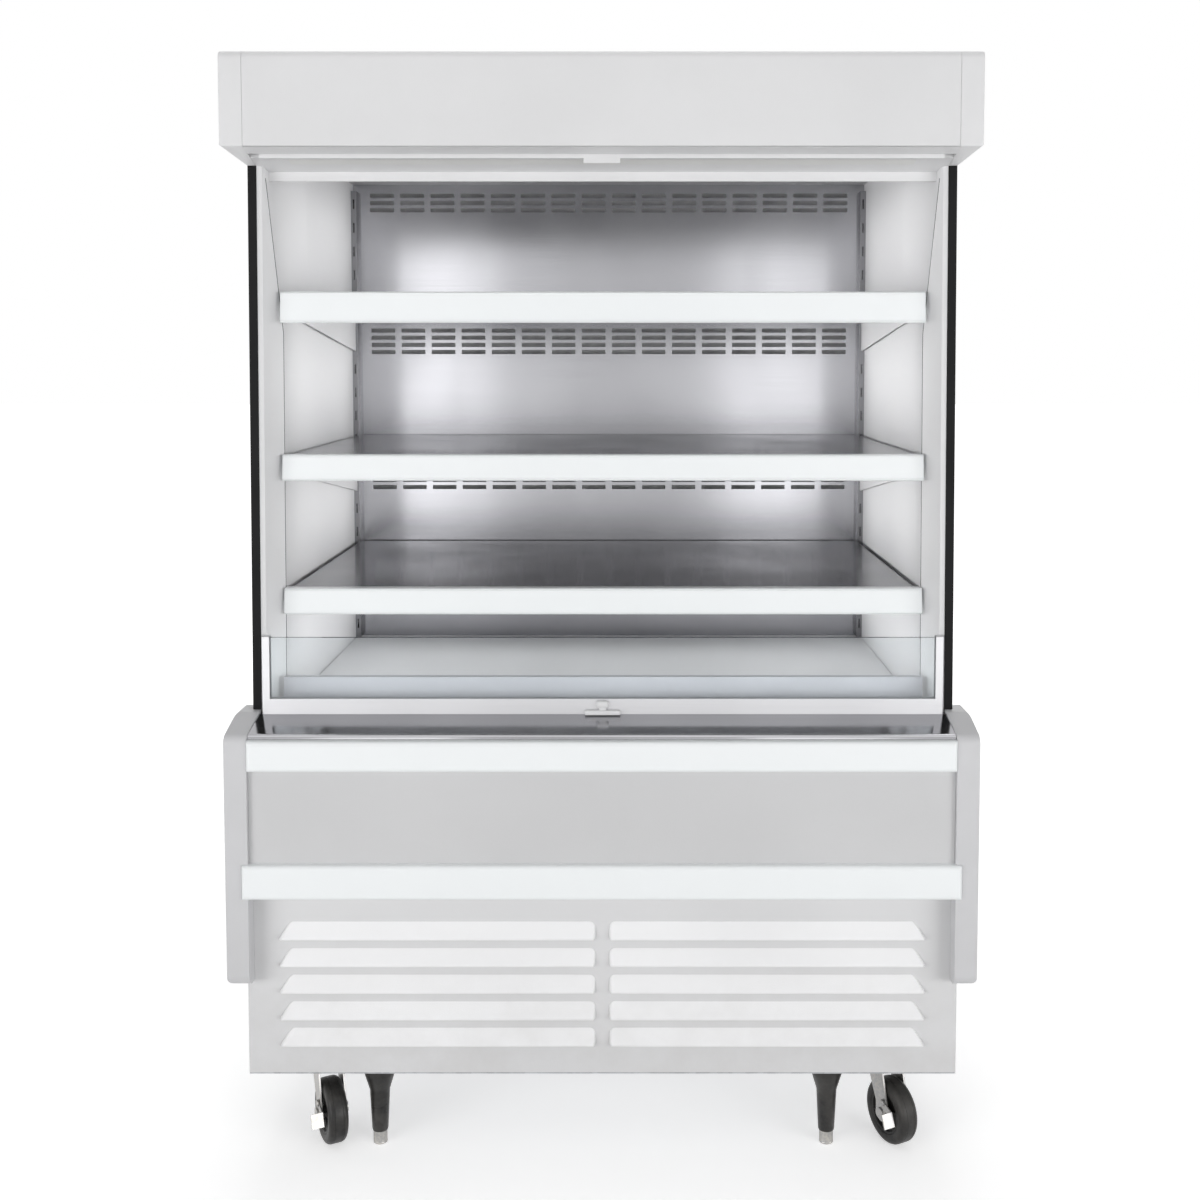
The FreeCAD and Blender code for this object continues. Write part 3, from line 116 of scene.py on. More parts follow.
# ---- node trees ----
class Graph:
    """A node tree being written, with short calls that add nodes and wire them."""

    def __init__(self, tree: NodeTree) -> None:
        """Keeps the tree that is being written.

        Args:
            tree: shader or geometry tree.
        """
        self.tree = tree

    def add(self, kind: str, inputs: Optional[Inputs] = None, **settings: object) -> Node:
        """Adds one node.

        Args:
            kind: Blender's class name of the node.
            inputs: values or other nodes' outputs, by the name or place of the input.
            settings: options of the node.

        Returns:
            The new node.
        """
        node = self.tree.nodes.new(kind)
        for key, value in settings.items():
            setattr(node, key, value)
        self.fill(node, inputs or {})
        return node

    def fill(self, node: Node, inputs: Inputs) -> None:
        """Wires outputs into a node's inputs, or sets the inputs' own values.

        Args:
            node: node to fill.
            inputs: values or other nodes' outputs, by the name or place of the input.
        """
        for key, value in inputs.items():
            if isinstance(value, NodeSocket):
                self.tree.links.new(value, node.inputs[key])
            else:
                node.inputs[key].default_value = value

    def sum(self, operation: str, first: Source, second: Source, clamp: bool = False) -> NodeSocket:
        """Adds a Math node.

        Args:
            operation: name of the operation.
            first: first value.
            second: second value.
            clamp: keeps the result between 0 and 1.

        Returns:
            The node's output.
        """
        return self.add("ShaderNodeMath", {0: first, 1: second}, operation=operation,
                        use_clamp=clamp).outputs[0]

    def times(self, first: Source, second: Source) -> NodeSocket:
        """Multiplies two values.

        Args:
            first: first value.
            second: second value.

        Returns:
            The product.
        """
        return self.sum("MULTIPLY", first, second)

    def spread(self, value: Source, low: float, high: float, out_low: float = 0.0, out_high: float = 1.0,
               smooth: bool = False) -> NodeSocket:
        """Adds a Map Range node from low..high to out_low..out_high.

        Args:
            value: value to map.
            low: value that becomes out_low.
            high: value that becomes out_high.
            out_low: result at low.
            out_high: result at high.
            smooth: eases both ends.

        Returns:
            The mapped value.
        """
        return self.add("ShaderNodeMapRange", {0: value, 1: low, 2: high, 3: out_low, 4: out_high},
                        interpolation_type="SMOOTHSTEP" if smooth else "LINEAR").outputs[0]

    def mix(self, share: Source, first: Source, second: Source) -> NodeSocket:
        """Adds a colour Mix node.

        Args:
            share: share of the second colour.
            first: first colour.
            second: second colour.

        Returns:
            The mixed colour.
        """
        colours = [value if isinstance(value, NodeSocket) else (*value, 1.0) for value in (first, second)]
        return self.add("ShaderNodeMix", {0: share, 6: colours[0], 7: colours[1]},
                        data_type="RGBA").outputs[2]

    def noise(self, vector: Source, scale: Source, detail: float = 2.0, roughness: float = 0.5) -> NodeSocket:
        """Adds a Noise Texture.

        Args:
            vector: coordinates.
            scale: features for each metre.
            detail: number of finer layers.
            roughness: weight of the finer layers.

        Returns:
            The noise value.
        """
        return self.add("ShaderNodeTexNoise", {"Vector": vector, "Scale": scale, "Detail": detail,
                                               "Roughness": roughness}).outputs[0]

    def stretch(self, vector: Source, scale: Point) -> NodeSocket:
        """Scales coordinates by axis.

        Args:
            vector: coordinates.
            scale: factor along each axis.

        Returns:
            The scaled coordinates.
        """
        return self.add("ShaderNodeMapping", {"Vector": vector, "Scale": scale}).outputs[0]

    def bump(self, height: Source, strength: float, distance: float, **normal: NodeSocket) -> NodeSocket:
        """Adds a Bump node.

        Args:
            height: height of the relief.
            strength: strength of the relief.
            distance: depth of the relief in metres.
            normal: the normal to start from, as Normal.

        Returns:
            The changed normal.
        """
        return self.add("ShaderNodeBump", {"Height": height, "Strength": strength, "Distance": distance,
                                           **normal}).outputs[0]

    def group(self, tree: NodeTree, inputs: dict[str, Source]) -> Outputs:
        """Places a shared effect.

        Args:
            tree: node group of the effect.
            inputs: its inputs by name.

        Returns:
            The effect's outputs.
        """
        return self.add("ShaderNodeGroup", inputs, node_tree=tree).outputs


class Effects:
    """Shader groups that several finishes share, each built once.

    Each effect is written by a function that takes the group's graph and inputs and gives its outputs.
    """

    def __init__(self) -> None:
        """Builds the shared groups."""
        self.grain = self._build("Surface grain", self._grain,
                                 {"Vector": None, "Scale": 600.0, "Broad scale": 5.0})
        self.streaks = self._build("Brushed lines", self._streaks, {"Vector": None})
        self.edges = self._build("Rounded edges", self._edges, {"Radius": 0.001, "Vector": None})
        self.dust = self._build("Floor dust", self._dust, {"Vector": None, "Reach": 0.4, "Amount": 0.3})
        self.smears = self._build("Wiping marks", self._smears, {"Vector": None, "Scale": 3.0})

    @staticmethod
    def _build(name: str, write: Callable[[Graph, Outputs], dict[str, NodeSocket]],
               inputs: dict[str, Optional[float]]) -> NodeTree:
        """Makes one group.

        Args:
            name: name of the group.
            write: the function that writes the effect.
            inputs: default value of each input, None for coordinates.

        Returns:
            The group.
        """
        tree = bpy.data.node_groups.new(name, "ShaderNodeTree")
        for label, value in inputs.items():
            kind = "NodeSocketVector" if value is None else "NodeSocketFloat"
            socket = tree.interface.new_socket(label, in_out="INPUT", socket_type=kind)
            if value is not None:
                socket.default_value = value
        graph = Graph(tree)
        made = write(graph, graph.add("NodeGroupInput").outputs)
        for label in made:
            kind = "NodeSocketVector" if label == "Normal" else "NodeSocketFloat"
            tree.interface.new_socket(label, in_out="OUTPUT", socket_type=kind)
        graph.add("NodeGroupOutput", made)
        return tree

    @staticmethod
    def _grain(graph: Graph, given: Outputs) -> dict[str, NodeSocket]:
        """Fine skin of paint or moulded plastic: a height, and a broad unevenness."""
        fine = graph.noise(given["Vector"], given["Scale"], 3.0, 0.55)
        broad = graph.noise(given["Vector"], given["Broad scale"], 2.0, 0.5)
        return {"Height": graph.spread(fine, 0.3, 0.7),
                "Unevenness": graph.spread(broad, 0.2, 0.8, smooth=True)}

    @staticmethod
    def _streaks(graph: Graph, given: Outputs) -> dict[str, NodeSocket]:
        """Rolling and brushing lines of sheet metal, from coordinates already stretched along the grain."""
        fine = graph.noise(given["Vector"], 1.0, 4.0, 0.7)
        wide = graph.noise(graph.stretch(given["Vector"], (0.3, 0.08, 0.08)), 1.0)
        lines = graph.sum("ADD", graph.times(fine, 0.7), graph.times(wide, 0.3))
        return {"Height": lines, "Lines": graph.spread(lines, 0.34, 0.66)}

    @staticmethod
    def _edges(graph: Graph, given: Outputs) -> dict[str, NodeSocket]:
        """Rounded look of folded and cut edges, with a mask of where they are, inward creases included."""
        bevel = graph.add("ShaderNodeBevel", {"Radius": given["Radius"]}, samples=4).outputs[0]
        flat = graph.add("ShaderNodeNewGeometry").outputs["Normal"]
        alike = graph.add("ShaderNodeVectorMath", {0: bevel, 1: flat},
                          operation="DOT_PRODUCT").outputs["Value"]
        broken = graph.spread(graph.noise(given["Vector"], 60.0, 3.0), 0.42, 0.62)
        return {"Normal": bevel,
                "Edge": graph.sum("MULTIPLY", graph.spread(alike, 0.98, 0.72), broken, clamp=True)}

    @staticmethod
    def _dust(graph: Graph, given: Outputs) -> dict[str, NodeSocket]:
        """Dust that thickens towards the floor."""
        height = graph.add("ShaderNodeSeparateXYZ", {0: given["Vector"]}).outputs["Z"]
        low = graph.sum("SUBTRACT", 1.0, graph.sum("DIVIDE", height, given["Reach"]), clamp=True)
        patch = graph.spread(graph.noise(given["Vector"], 14.0, 5.0, 0.65), 0.35, 0.7)
        return {"Mask": graph.sum("MULTIPLY", graph.times(low, patch), given["Amount"], clamp=True)}

    @staticmethod
    def _smears(graph: Graph, given: Outputs) -> dict[str, NodeSocket]:
        """Cloudy wiping marks on polished faces."""
        bent = graph.stretch(given["Vector"], (1.0, 1.0, 0.55))
        clouds = graph.noise(bent, given["Scale"])
        wipes = graph.noise(graph.stretch(bent, (4.0, 4.0, 0.8)), given["Scale"])
        return {"Clouds": graph.spread(clouds, 0.33, 0.67, smooth=True),
                "Wipes": graph.spread(wipes, 0.35, 0.75, smooth=True)}


# ---- finishes ----
@dataclass(frozen=True)
class Finish:
    """A finish of the fridge, with the name and slot that it is recorded under."""

    name: str
    colour: Colour
    roughness: float
    slot: Slot

    def build(self, effects: Effects) -> Material:
        """Makes the material.

        Args:
            effects: shared shader groups.

        Returns:
            The finished material.
        """
        material = bpy.data.materials.new(self.name)
        material.use_nodes = True
        graph = Graph(material.node_tree)
        shader = graph.tree.nodes["Principled BSDF"]
        graph.fill(shader, {"Base Color": (*self.colour, 1.0), "Roughness": self.roughness})
        graph.fill(shader, self.dress(graph, graph.add("ShaderNodeTexCoord").outputs["Object"], effects))
        return material

    def shade(self, share: float) -> Colour:
        """Gives the finish's colour, darkened or lightened.

        Args:
            share: factor on the colour.

        Returns:
            The changed colour.
        """
        return tuple(min(1.0, part * share) for part in self.colour)

    def shades(self, graph: Graph, mask: Source, low: float, high: float) -> NodeSocket:
        """Varies the finish's colour between two shades.

        Args:
            graph: the material's tree.
            mask: value from 0 to 1.
            low: factor on the colour where the mask is 0.
            high: factor on the colour where the mask is 1.

        Returns:
            The varied colour.
        """
        return graph.mix(mask, self.shade(low), self.shade(high))

    def rough(self, graph: Graph, mask: Source, low: float, high: float) -> NodeSocket:
        """Varies the finish's roughness.

        Args:
            graph: the material's tree.
            mask: value from 0 to 1.
            low: change of the roughness where the mask is 0.
            high: change of the roughness where the mask is 1.

        Returns:
            The varied roughness.
        """
        return graph.spread(mask, 0.0, 1.0, self.roughness + low, self.roughness + high)

    def dress(self, graph: Graph, place: NodeSocket, effects: Effects) -> dict[str, Source]:
        """Adds the finish's own detail.

        Args:
            graph: the material's tree.
            place: Object coordinates.
            effects: shared shader groups.

        Returns:
            The inputs of the Principled BSDF by name.
        """
        raise NotImplementedError


@dataclass(frozen=True)
class Moulding(Finish):
    """Moulded or extruded plastic: a fine pore, soft rounded edges, a slight sheen, a little dust low down, and
    darker edges and creases: wear on the edges, painted shade in the creases.
    """

    pore: float = 1400.0
    broad: float = 9.0
    depth: float = 0.0002
    relief: float = 0.3
    edge: float = 0.0015
    worn: float = 0.3
    # Tone factor along edges and creases: edge wear, and painted shade in the creases.
    wear_and_crease_shade: float = 0.86
    tones: Pair = (0.978, 1.022)
    swing: Pair = (-0.044, 0.066)
    dust: Pair = (0.5, 0.2)
    dirt: Colour = (0.34, 0.32, 0.29)
    dulled: float = 0.0
    coat: float = 0.0
    shine: float = 0.5

    def dress(self, graph: Graph, place: NodeSocket, effects: Effects) -> dict[str, Source]:
        """Adds pores, flow marks, dust, and darker edges and creases: edge wear, with painted shade in the
        creases.
        """
        skin = graph.group(effects.grain, {"Vector": place, "Scale": self.pore, "Broad scale": self.broad})
        edges = graph.group(effects.edges, {"Radius": self.edge, "Vector": place})
        reach, amount = self.dust
        dust = graph.group(effects.dust, {"Vector": place, "Reach": reach, "Amount": amount})["Mask"]
        uneven = self.shades(graph, skin["Unevenness"], *self.tones)
        # Darkens edges and inward creases: wear on the edges, painted shade in the creases.
        worn_and_crease_shaded = graph.mix(graph.times(edges["Edge"], self.worn), uneven, self.shade(self.wear_and_crease_shade))
        rough = self.rough(graph, skin["Unevenness"], *self.swing)
        return {"Base Color": graph.mix(dust, worn_and_crease_shaded, self.dirt),
                "Roughness": graph.sum("ADD", rough, graph.times(dust, self.dulled), clamp=True),
                "Normal": graph.bump(skin["Height"], self.relief, self.depth, Normal=edges["Normal"]),
                "Specular IOR Level": self.shine, "Coat Weight": self.coat, "Coat Roughness": 0.12}


@dataclass(frozen=True)
class PowderCoat(Moulding):
    """Baked powder coat on folded sheet: orange peel, dust low down, and darker edges and creases: thin spots of
    wear on the edges, painted shade in the creases.
    """

    pore: float = 520.0
    broad: float = 4.0
    depth: float = 0.00025
    relief: float = 0.35
    edge: float = 0.0012
    worn: float = 0.25
    # Tone factor along edges and creases: thin spots of wear, and painted shade in the creases.
    wear_and_crease_shade: float = 0.82
    tones: Pair = (0.972, 1.02)
    swing: Pair = (-0.05, 0.06)
    dust: Pair = (0.42, 0.22)
    dirt: Colour = (0.36, 0.33, 0.29)
    dulled: float = 1.0


@dataclass(frozen=True)
class BrushedSheet(Finish):
    """Brushed or rolled sheet metal, with cloudy wiping marks."""

    lines: Point = (4.0, 900.0, 900.0)
    clouds: float = 2.6
    depth: float = 0.2
    contrast: float = 0.06
    anisotropy: float = 0.85

    def dress(self, graph: Graph, place: NodeSocket, effects: Effects) -> dict[str, Source]:
        """Adds brushing lines, cloudy sheen, and lighter edges and creases: a painted highlight, partly worn
        polish on the edges.
        """
        lines = graph.group(effects.streaks, {"Vector": graph.stretch(place, self.lines)})
        marks = graph.group(effects.smears, {"Vector": place, "Scale": self.clouds})
        edges = graph.group(effects.edges, {"Radius": 0.0008, "Vector": place})
        sheen = self.shades(graph, marks["Clouds"], 1.0 - self.contrast, 1.0 + self.contrast)
        brushed = graph.mix(graph.times(lines["Lines"], 0.3), sheen, self.shade(0.8))
        rough = self.rough(graph, marks["Clouds"], 0.03, -0.02)
        grain = Vector([1.0 / scale for scale in self.lines]).normalized()
        facing = graph.add("ShaderNodeNewGeometry").outputs["True Normal"]
        across = graph.add("ShaderNodeVectorMath", {0: facing, 1: grain},
                           operation="CROSS_PRODUCT").outputs[0]
        # Lightens edges and creases: a painted highlight, partly worn polish on the edges.
        return {"Base Color": graph.mix(graph.times(edges["Edge"], 0.4), brushed, self.shade(1.35)),
                "Roughness": graph.sum("ADD", rough, graph.times(marks["Wipes"], 0.02), clamp=True),
                "Normal": graph.bump(lines["Height"], self.depth, 0.00012, Normal=edges["Normal"]),
                "Tangent": across, "Metallic": 1.0, "Anisotropic": self.anisotropy}


@dataclass(frozen=True)
class Spangled(Finish):
    """Galvanised or zinc plated steel: crystal patches and a dull bloom."""

    crystal: float = 90.0
    tint: Colour = (0.55, 0.56, 0.58)

    def dress(self, graph: Graph, place: NodeSocket, effects: Effects) -> dict[str, Source]:
        """Adds crystal patches, bloom, and lighter edges and creases: a painted highlight, partly worn zinc on the
        edges.
        """
        cells = graph.add("ShaderNodeTexVoronoi", {"Vector": place, "Scale": self.crystal}, feature="F1")
        patch = graph.add("ShaderNodeSeparateColor", {0: cells.outputs["Color"]}).outputs[0]
        marks = graph.group(effects.smears, {"Vector": place, "Scale": 11.0})
        edges = graph.group(effects.edges, {"Radius": 0.0008, "Vector": place})
        dust = graph.group(effects.dust, {"Vector": place, "Reach": 0.3, "Amount": 0.35})["Mask"]
        crystals = graph.mix(patch, self.shade(0.86), self.tint)
        bloom = graph.mix(graph.times(marks["Clouds"], 0.35), crystals, self.shade(1.12))
        # Lightens edges and creases: a painted highlight, partly worn zinc on the edges.
        shine = graph.mix(graph.times(edges["Edge"], 0.5), bloom, self.shade(1.3))
        return {"Base Color": graph.mix(dust, shine, (0.25, 0.23, 0.2)), "Normal": edges["Normal"],
                "Roughness": self.rough(graph, patch, -0.07, 0.09), "Metallic": 0.92}


@dataclass(frozen=True)
class ClearSheet(Finish):
    """Clear glass with faint wiping marks that let light through to what is behind."""

    def dress(self, graph: Graph, place: NodeSocket, effects: Effects) -> dict[str, Source]:
        """Adds transmission, marks and a clear path for the light that casts shadows."""
        marks = graph.group(effects.smears, {"Vector": place, "Scale": 7.0})
        through = graph.add("ShaderNodeBsdfTransparent", {"Color": (*self.shade(0.97), 1.0)}).outputs[0]
        shadow = graph.add("ShaderNodeLightPath").outputs["Is Shadow Ray"]
        glass = graph.tree.nodes["Principled BSDF"].outputs[0]
        joined = graph.add("ShaderNodeMixShader", {0: shadow, 1: glass, 2: through}).outputs[0]
        graph.fill(graph.tree.nodes["Material Output"], {"Surface": joined})
        return {"Base Color": self.shades(graph, marks["Clouds"], 0.985, 1.01), "IOR": 1.45,
                "Roughness": self.rough(graph, marks["Wipes"], 0.0, 0.05), "Transmission Weight": 1.0}


@dataclass(frozen=True)
class LampLens(Finish):
    """Ribbed lens of the canopy lamp, lit from inside."""

    strength: float = 0.12

    def dress(self, graph: Graph, place: NodeSocket, effects: Effects) -> dict[str, Source]:
        """Adds the ribs, and the soft ends of the light."""
        ribs = graph.add("ShaderNodeTexWave", {"Vector": place, "Scale": 260.0, "Distortion": 0.0},
                         wave_type="BANDS", bands_direction="Y").outputs[1]
        glow = graph.spread(graph.noise(graph.stretch(place, (2.0, 20.0, 20.0)), 1.0), 0.3, 0.7, 0.9, 1.0)
        level = graph.times(glow, graph.spread(ribs, 0.0, 1.0, 0.92, 1.0))
        return {"Emission Color": self.shades(graph, level, 0.8, 1.0), "Emission Strength": self.strength,
                "Normal": graph.bump(ribs, 0.3, 0.0005)}


@dataclass(frozen=True)
class WovenCloth(Finish):
    """Close woven curtain cloth with a soft coating, patterned on the cloth's own map."""

    weave: float = 150.0

    def dress(self, graph: Graph, place: NodeSocket, effects: Effects) -> dict[str, Source]:
        """Adds warp, weft and slight soiling."""
        laid = graph.add("ShaderNodeUVMap", uv_map="cloth").outputs[0]
        thread = {"Vector": laid, "Scale": self.weave, "Distortion": 0.6, "Detail": 1.0}
        waves = [graph.add("ShaderNodeTexWave", thread, wave_type="BANDS", bands_direction=axis).outputs[1]
                 for axis in ("X", "Y")]
        weave = graph.sum("MAXIMUM", *waves)
        soil = graph.noise(laid, 6.0, 4.0, 0.6)
        worn = self.shades(graph, graph.spread(soil, 0.35, 0.75), 1.03, 0.9)
        return {"Base Color": graph.mix(graph.spread(weave, 0.2, 0.9, 0.25, 0.0), worn, self.shade(0.72)),
                "Roughness": self.rough(graph, graph.spread(soil, 0.3, 0.7), -0.05, 0.05),
                "Normal": graph.bump(weave, 0.5, 0.0002), "Sheen Weight": 0.25}


FINISHES: tuple[Finish, ...] = (
    PowderCoat("white_enamel", tone(226, 226, 227), 0.42, Slot.WHITE_PANEL),
    # Lighter copy of the white enamel for the louvre hoods: a painted highlight where their slanted faces catch
    # the overhead light.
    PowderCoat("hood_painted_highlight_enamel", tone(249, 249, 250), 0.42, Slot.WHITE_PANEL),
    # Lighter copy of the white enamel for the deck pan: painted light that offsets the shelves' shade on it.
    PowderCoat("deck_painted_light_enamel", tone(240, 240, 241), 0.42, Slot.WHITE_PANEL),
    PowderCoat("grey_enamel", tone(208, 208, 209), 0.42, Slot.GREY_PANEL),
    # Lighter copy of the grey enamel for the louvre plate: painted light that offsets the shade under the
    # overhanging bumper and caps.
    PowderCoat("louvre_painted_light_enamel", tone(222, 222, 223), 0.42, Slot.GREY_PANEL),
    PowderCoat("grille_enamel", tone(192, 192, 197), 0.4, Slot.GREY_PANEL),
    PowderCoat("black_enamel", tone(34, 34, 36), 0.36, Slot.BLACK_PAINT, pore=380.0),
    Moulding("grey_moulding", tone(209, 209, 211), 0.44, Slot.GREY_CAP),
    Moulding("white_moulding", tone(226, 226, 227), 0.42, Slot.WHITE_CAP),
    Moulding("white_extrusion", tone(247, 250, 251), 0.3, Slot.WHITE_STRIP, pore=2200.0, depth=0.00006,
             worn=0.0, tones=(0.997, 1.003), swing=(-0.006, 0.009), coat=0.2),
    Moulding("black_seal", tone(18, 18, 19), 0.6, Slot.BLACK_TRIM, pore=1800.0, shine=0.15),
    Moulding("black_moulding", tone(20, 20, 21), 0.3, Slot.BLACK_PLASTIC, pore=900.0, shine=0.35),
    Moulding("tyre_rubber", tone(18, 18, 19), 0.42, Slot.WHEEL, pore=700.0, depth=0.0003, shine=0.3),
    Moulding("body_foam", tone(226, 214, 170), 0.9, Slot.FOAM, pore=240.0, depth=0.001),
    BrushedSheet("brushed_stainless", tone(158, 158, 161), 0.18, Slot.STAINLESS),
    # Lighter copy of the brushed stainless for the back panel: painted light that lifts it inside the shaded
    # cabinet.
    BrushedSheet("duct_stainless_painted_light", tone(184, 184, 188), 0.17, Slot.STAINLESS, anisotropy=0.6),
    BrushedSheet("sill_stainless", tone(168, 168, 171), 0.12, Slot.STAINLESS, anisotropy=0.5),
    BrushedSheet("bare_aluminium", tone(196, 198, 200), 0.36, Slot.BARE_ALUMINIUM, lines=(900.0, 900.0, 5.0)),
    BrushedSheet("channel_aluminium", tone(203, 203, 205), 0.45, Slot.CHANNEL, contrast=0.03, anisotropy=0.3),
    BrushedSheet("copper_tube", tone(205, 128, 92), 0.3, Slot.COPPER, lines=(60.0, 60.0, 60.0),
                 anisotropy=0.0),
    Moulding("honeycomb_film", tone(226, 227, 228), 0.45, Slot.HONEYCOMB, edge=0.0002),
    Spangled("galvanised_sheet", tone(176, 178, 182), 0.42, Slot.GALVANISED),
    Spangled("bright_zinc", tone(182, 182, 184), 0.38, Slot.ZINC, crystal=400.0, tint=(0.58, 0.56, 0.52)),
    ClearSheet("clear_glass", tone(240, 243, 244), 0.02, Slot.CLEAR_GLASS),
    LampLens("lamp_lens", tone(212, 212, 210), 0.4, Slot.LAMP),
    WovenCloth("curtain_weave", tone(216, 217, 221), 0.6, Slot.CLOTH),
)


class Wardrobe:
    """The finishes by slot, and the calls that put them on pieces and on nodes of the frame."""

    def __init__(self, effects: Effects) -> None:
        """Builds every finish.

        Args:
            effects: shared shader groups.
        """
        self.named = {finish.name: finish.build(effects) for finish in FINISHES}
        self.materials = {finish.slot: self.named[finish.name] for finish in reversed(FINISHES)}

    def node(self, name: str, slot: Slot, finish: Optional[str] = None) -> None:
        """Puts a finish on a node of the frame.

        Args:
            name: the node.
            slot: the finish's slot.
            finish: name of the finish, where it isn't the slot's first one.
        """
        obj = frame["nodes"][name]
        material = self.named[finish] if finish else self.materials[slot]
        if not obj.material_slots:
            obj.data.materials.append(material)
        for place in obj.material_slots:
            place.material = material

    def piece(self, obj: Object, slot: Slot, body: str, finish: Optional[str] = None) -> Object:
        """Puts a finish on a new piece and lets it ride on a body.

        Args:
            obj: the piece.
            slot: the finish's slot.
            body: the body that it moves with.
            finish: name of the finish, where it isn't the slot's first one.

        Returns:
            The piece.
        """
        obj.data.materials.clear()
        obj.data.materials.append(self.named[finish] if finish else self.materials[slot])
        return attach(obj, body)


# ---- meshes ----
def keep(name: str, mesh: Union[BMesh, Mesh], smooth: Optional[float] = None,
         facing: Optional[Point] = None) -> Object:
    """Turns a built mesh into an object of the scene.

    Args:
        name: name of the piece.
        mesh: the mesh, built in place.
        smooth: angle in degrees under which edges shade as one face, or None for flat shading.
        facing: the way that an open sheet faces, or None for a closed shape.

    Returns:
        The new object.
    """
    if isinstance(mesh, BMesh):
        built = bpy.data.meshes.new(name)
        bmesh.ops.recalc_face_normals(mesh, faces=mesh.faces)
        if facing is not None:
            mesh.normal_update()
            front = sum((face.normal * face.calc_area() for face in mesh.faces), Vector())
            if front.dot(Vector(facing)) < 0.0:
                bmesh.ops.reverse_faces(mesh, faces=mesh.faces)
        if smooth is not None:
            for face in mesh.faces:
                face.smooth = True
            for edge in mesh.edges:
                edge.smooth = edge.calc_face_angle(0.0) < math.radians(smooth)
        mesh.to_mesh(built)
        mesh.free()
        mesh = built
    obj = bpy.data.objects.new(name, mesh)
    bpy.context.scene.collection.objects.link(obj)
    return obj


def gather(name: str, parts: Sequence[Object]) -> Object:
    """Puts several built shapes in one object.

    Args:
        name: name of the piece.
        parts: the shapes, which are used up.

    Returns:
        The new object.
    """
    mesh = bmesh.new()
    for part in parts:
        mesh.from_mesh(part.data)
        bpy.data.objects.remove(part)
    built = bpy.data.meshes.new(name)
    mesh.to_mesh(built)
    mesh.free()
    return keep(name, built)


def thicken(obj: Object, thickness: float) -> Object:
    """Gives an open sheet its gauge, on the side that it doesn't face.

    Args:
        obj: the sheet.
        thickness: the gauge.

    Returns:
        The same object.
    """
    wall = obj.modifiers.new("gauge", "SOLIDIFY")
    wall.thickness, wall.offset, wall.use_even_offset = thickness, -1.0, True
    return obj


def loft(rings: Sequence[Sequence[Point]], capped: bool = True, around: bool = False) -> BMesh:
    """Skins a row of closed outlines that have as many points each.

    Args:
        rings: the outlines in order.
        capped: closes the first and the last outline.
        around: joins the last outline to the first.

    Returns:
        The skinned mesh.
    """
    mesh = bmesh.new()
    rows = [[mesh.verts.new(point) for point in ring] for ring in rings]
    count = len(rows[0])
    for near, far in zip(rows, rows[1:] + (rows[:1] if around else [])):
        for i in range(count):
            mesh.faces.new((near[i], near[(i + 1) % count], far[(i + 1) % count], far[i]))
    if capped:
        mesh.faces.new(rows[0][::-1])
        mesh.faces.new(rows[-1])
    return mesh


def lathe(profile: Sequence[tuple[float, float]], centre: Point, axle: Point, steps: int = 64) -> BMesh:
    """Turns a closed outline about an axle.

    Args:
        profile: the outline, as distances along the axle and from it.
        centre: point on the axle where the distance along it is 0.
        axle: direction of the axle.
        steps: number of sides.

    Returns:
        The turned mesh.
    """
    along = Vector(axle).normalized()
    across = along.orthogonal().normalized()
    other = along.cross(across)
    rings = []
    for step in range(steps):
        angle = math.tau * step / steps
        out = across * math.cos(angle) + other * math.sin(angle)
        rings.append([Vector(centre) + along * reach + out * radius for reach, radius in profile])
    return loft(rings, capped=False, around=True)


def block(low: Point, high: Point, radius: float = 0.0, segments: int = 2) -> BMesh:
    """Makes a block with rounded edges.

    Args:
        low: lowest corner.
        high: highest corner.
        radius: radius of the edges.
        segments: number of faces across each edge.

    Returns:
        The block.
    """
    mesh = bmesh.new()
    bmesh.ops.create_cube(mesh, size=1.0)
    for vert in mesh.verts:
        vert.co = [a + (b - a) * (part + 0.5) for a, b, part in zip(low, high, vert.co)]
    if radius:
        bmesh.ops.bevel(mesh, geom=mesh.edges, offset=radius, segments=segments, profile=0.5, affect="EDGES")
    return mesh


def line(points: Sequence[Point]) -> BMesh:
    """Makes the open line that a section is swept along.

    Args:
        points: its points in order.

    Returns:
        The line.
    """
    mesh = bmesh.new()
    verts = [mesh.verts.new(point) for point in points]
    for near, far in zip(verts, verts[1:]):
        mesh.edges.new((near, far))
    return mesh


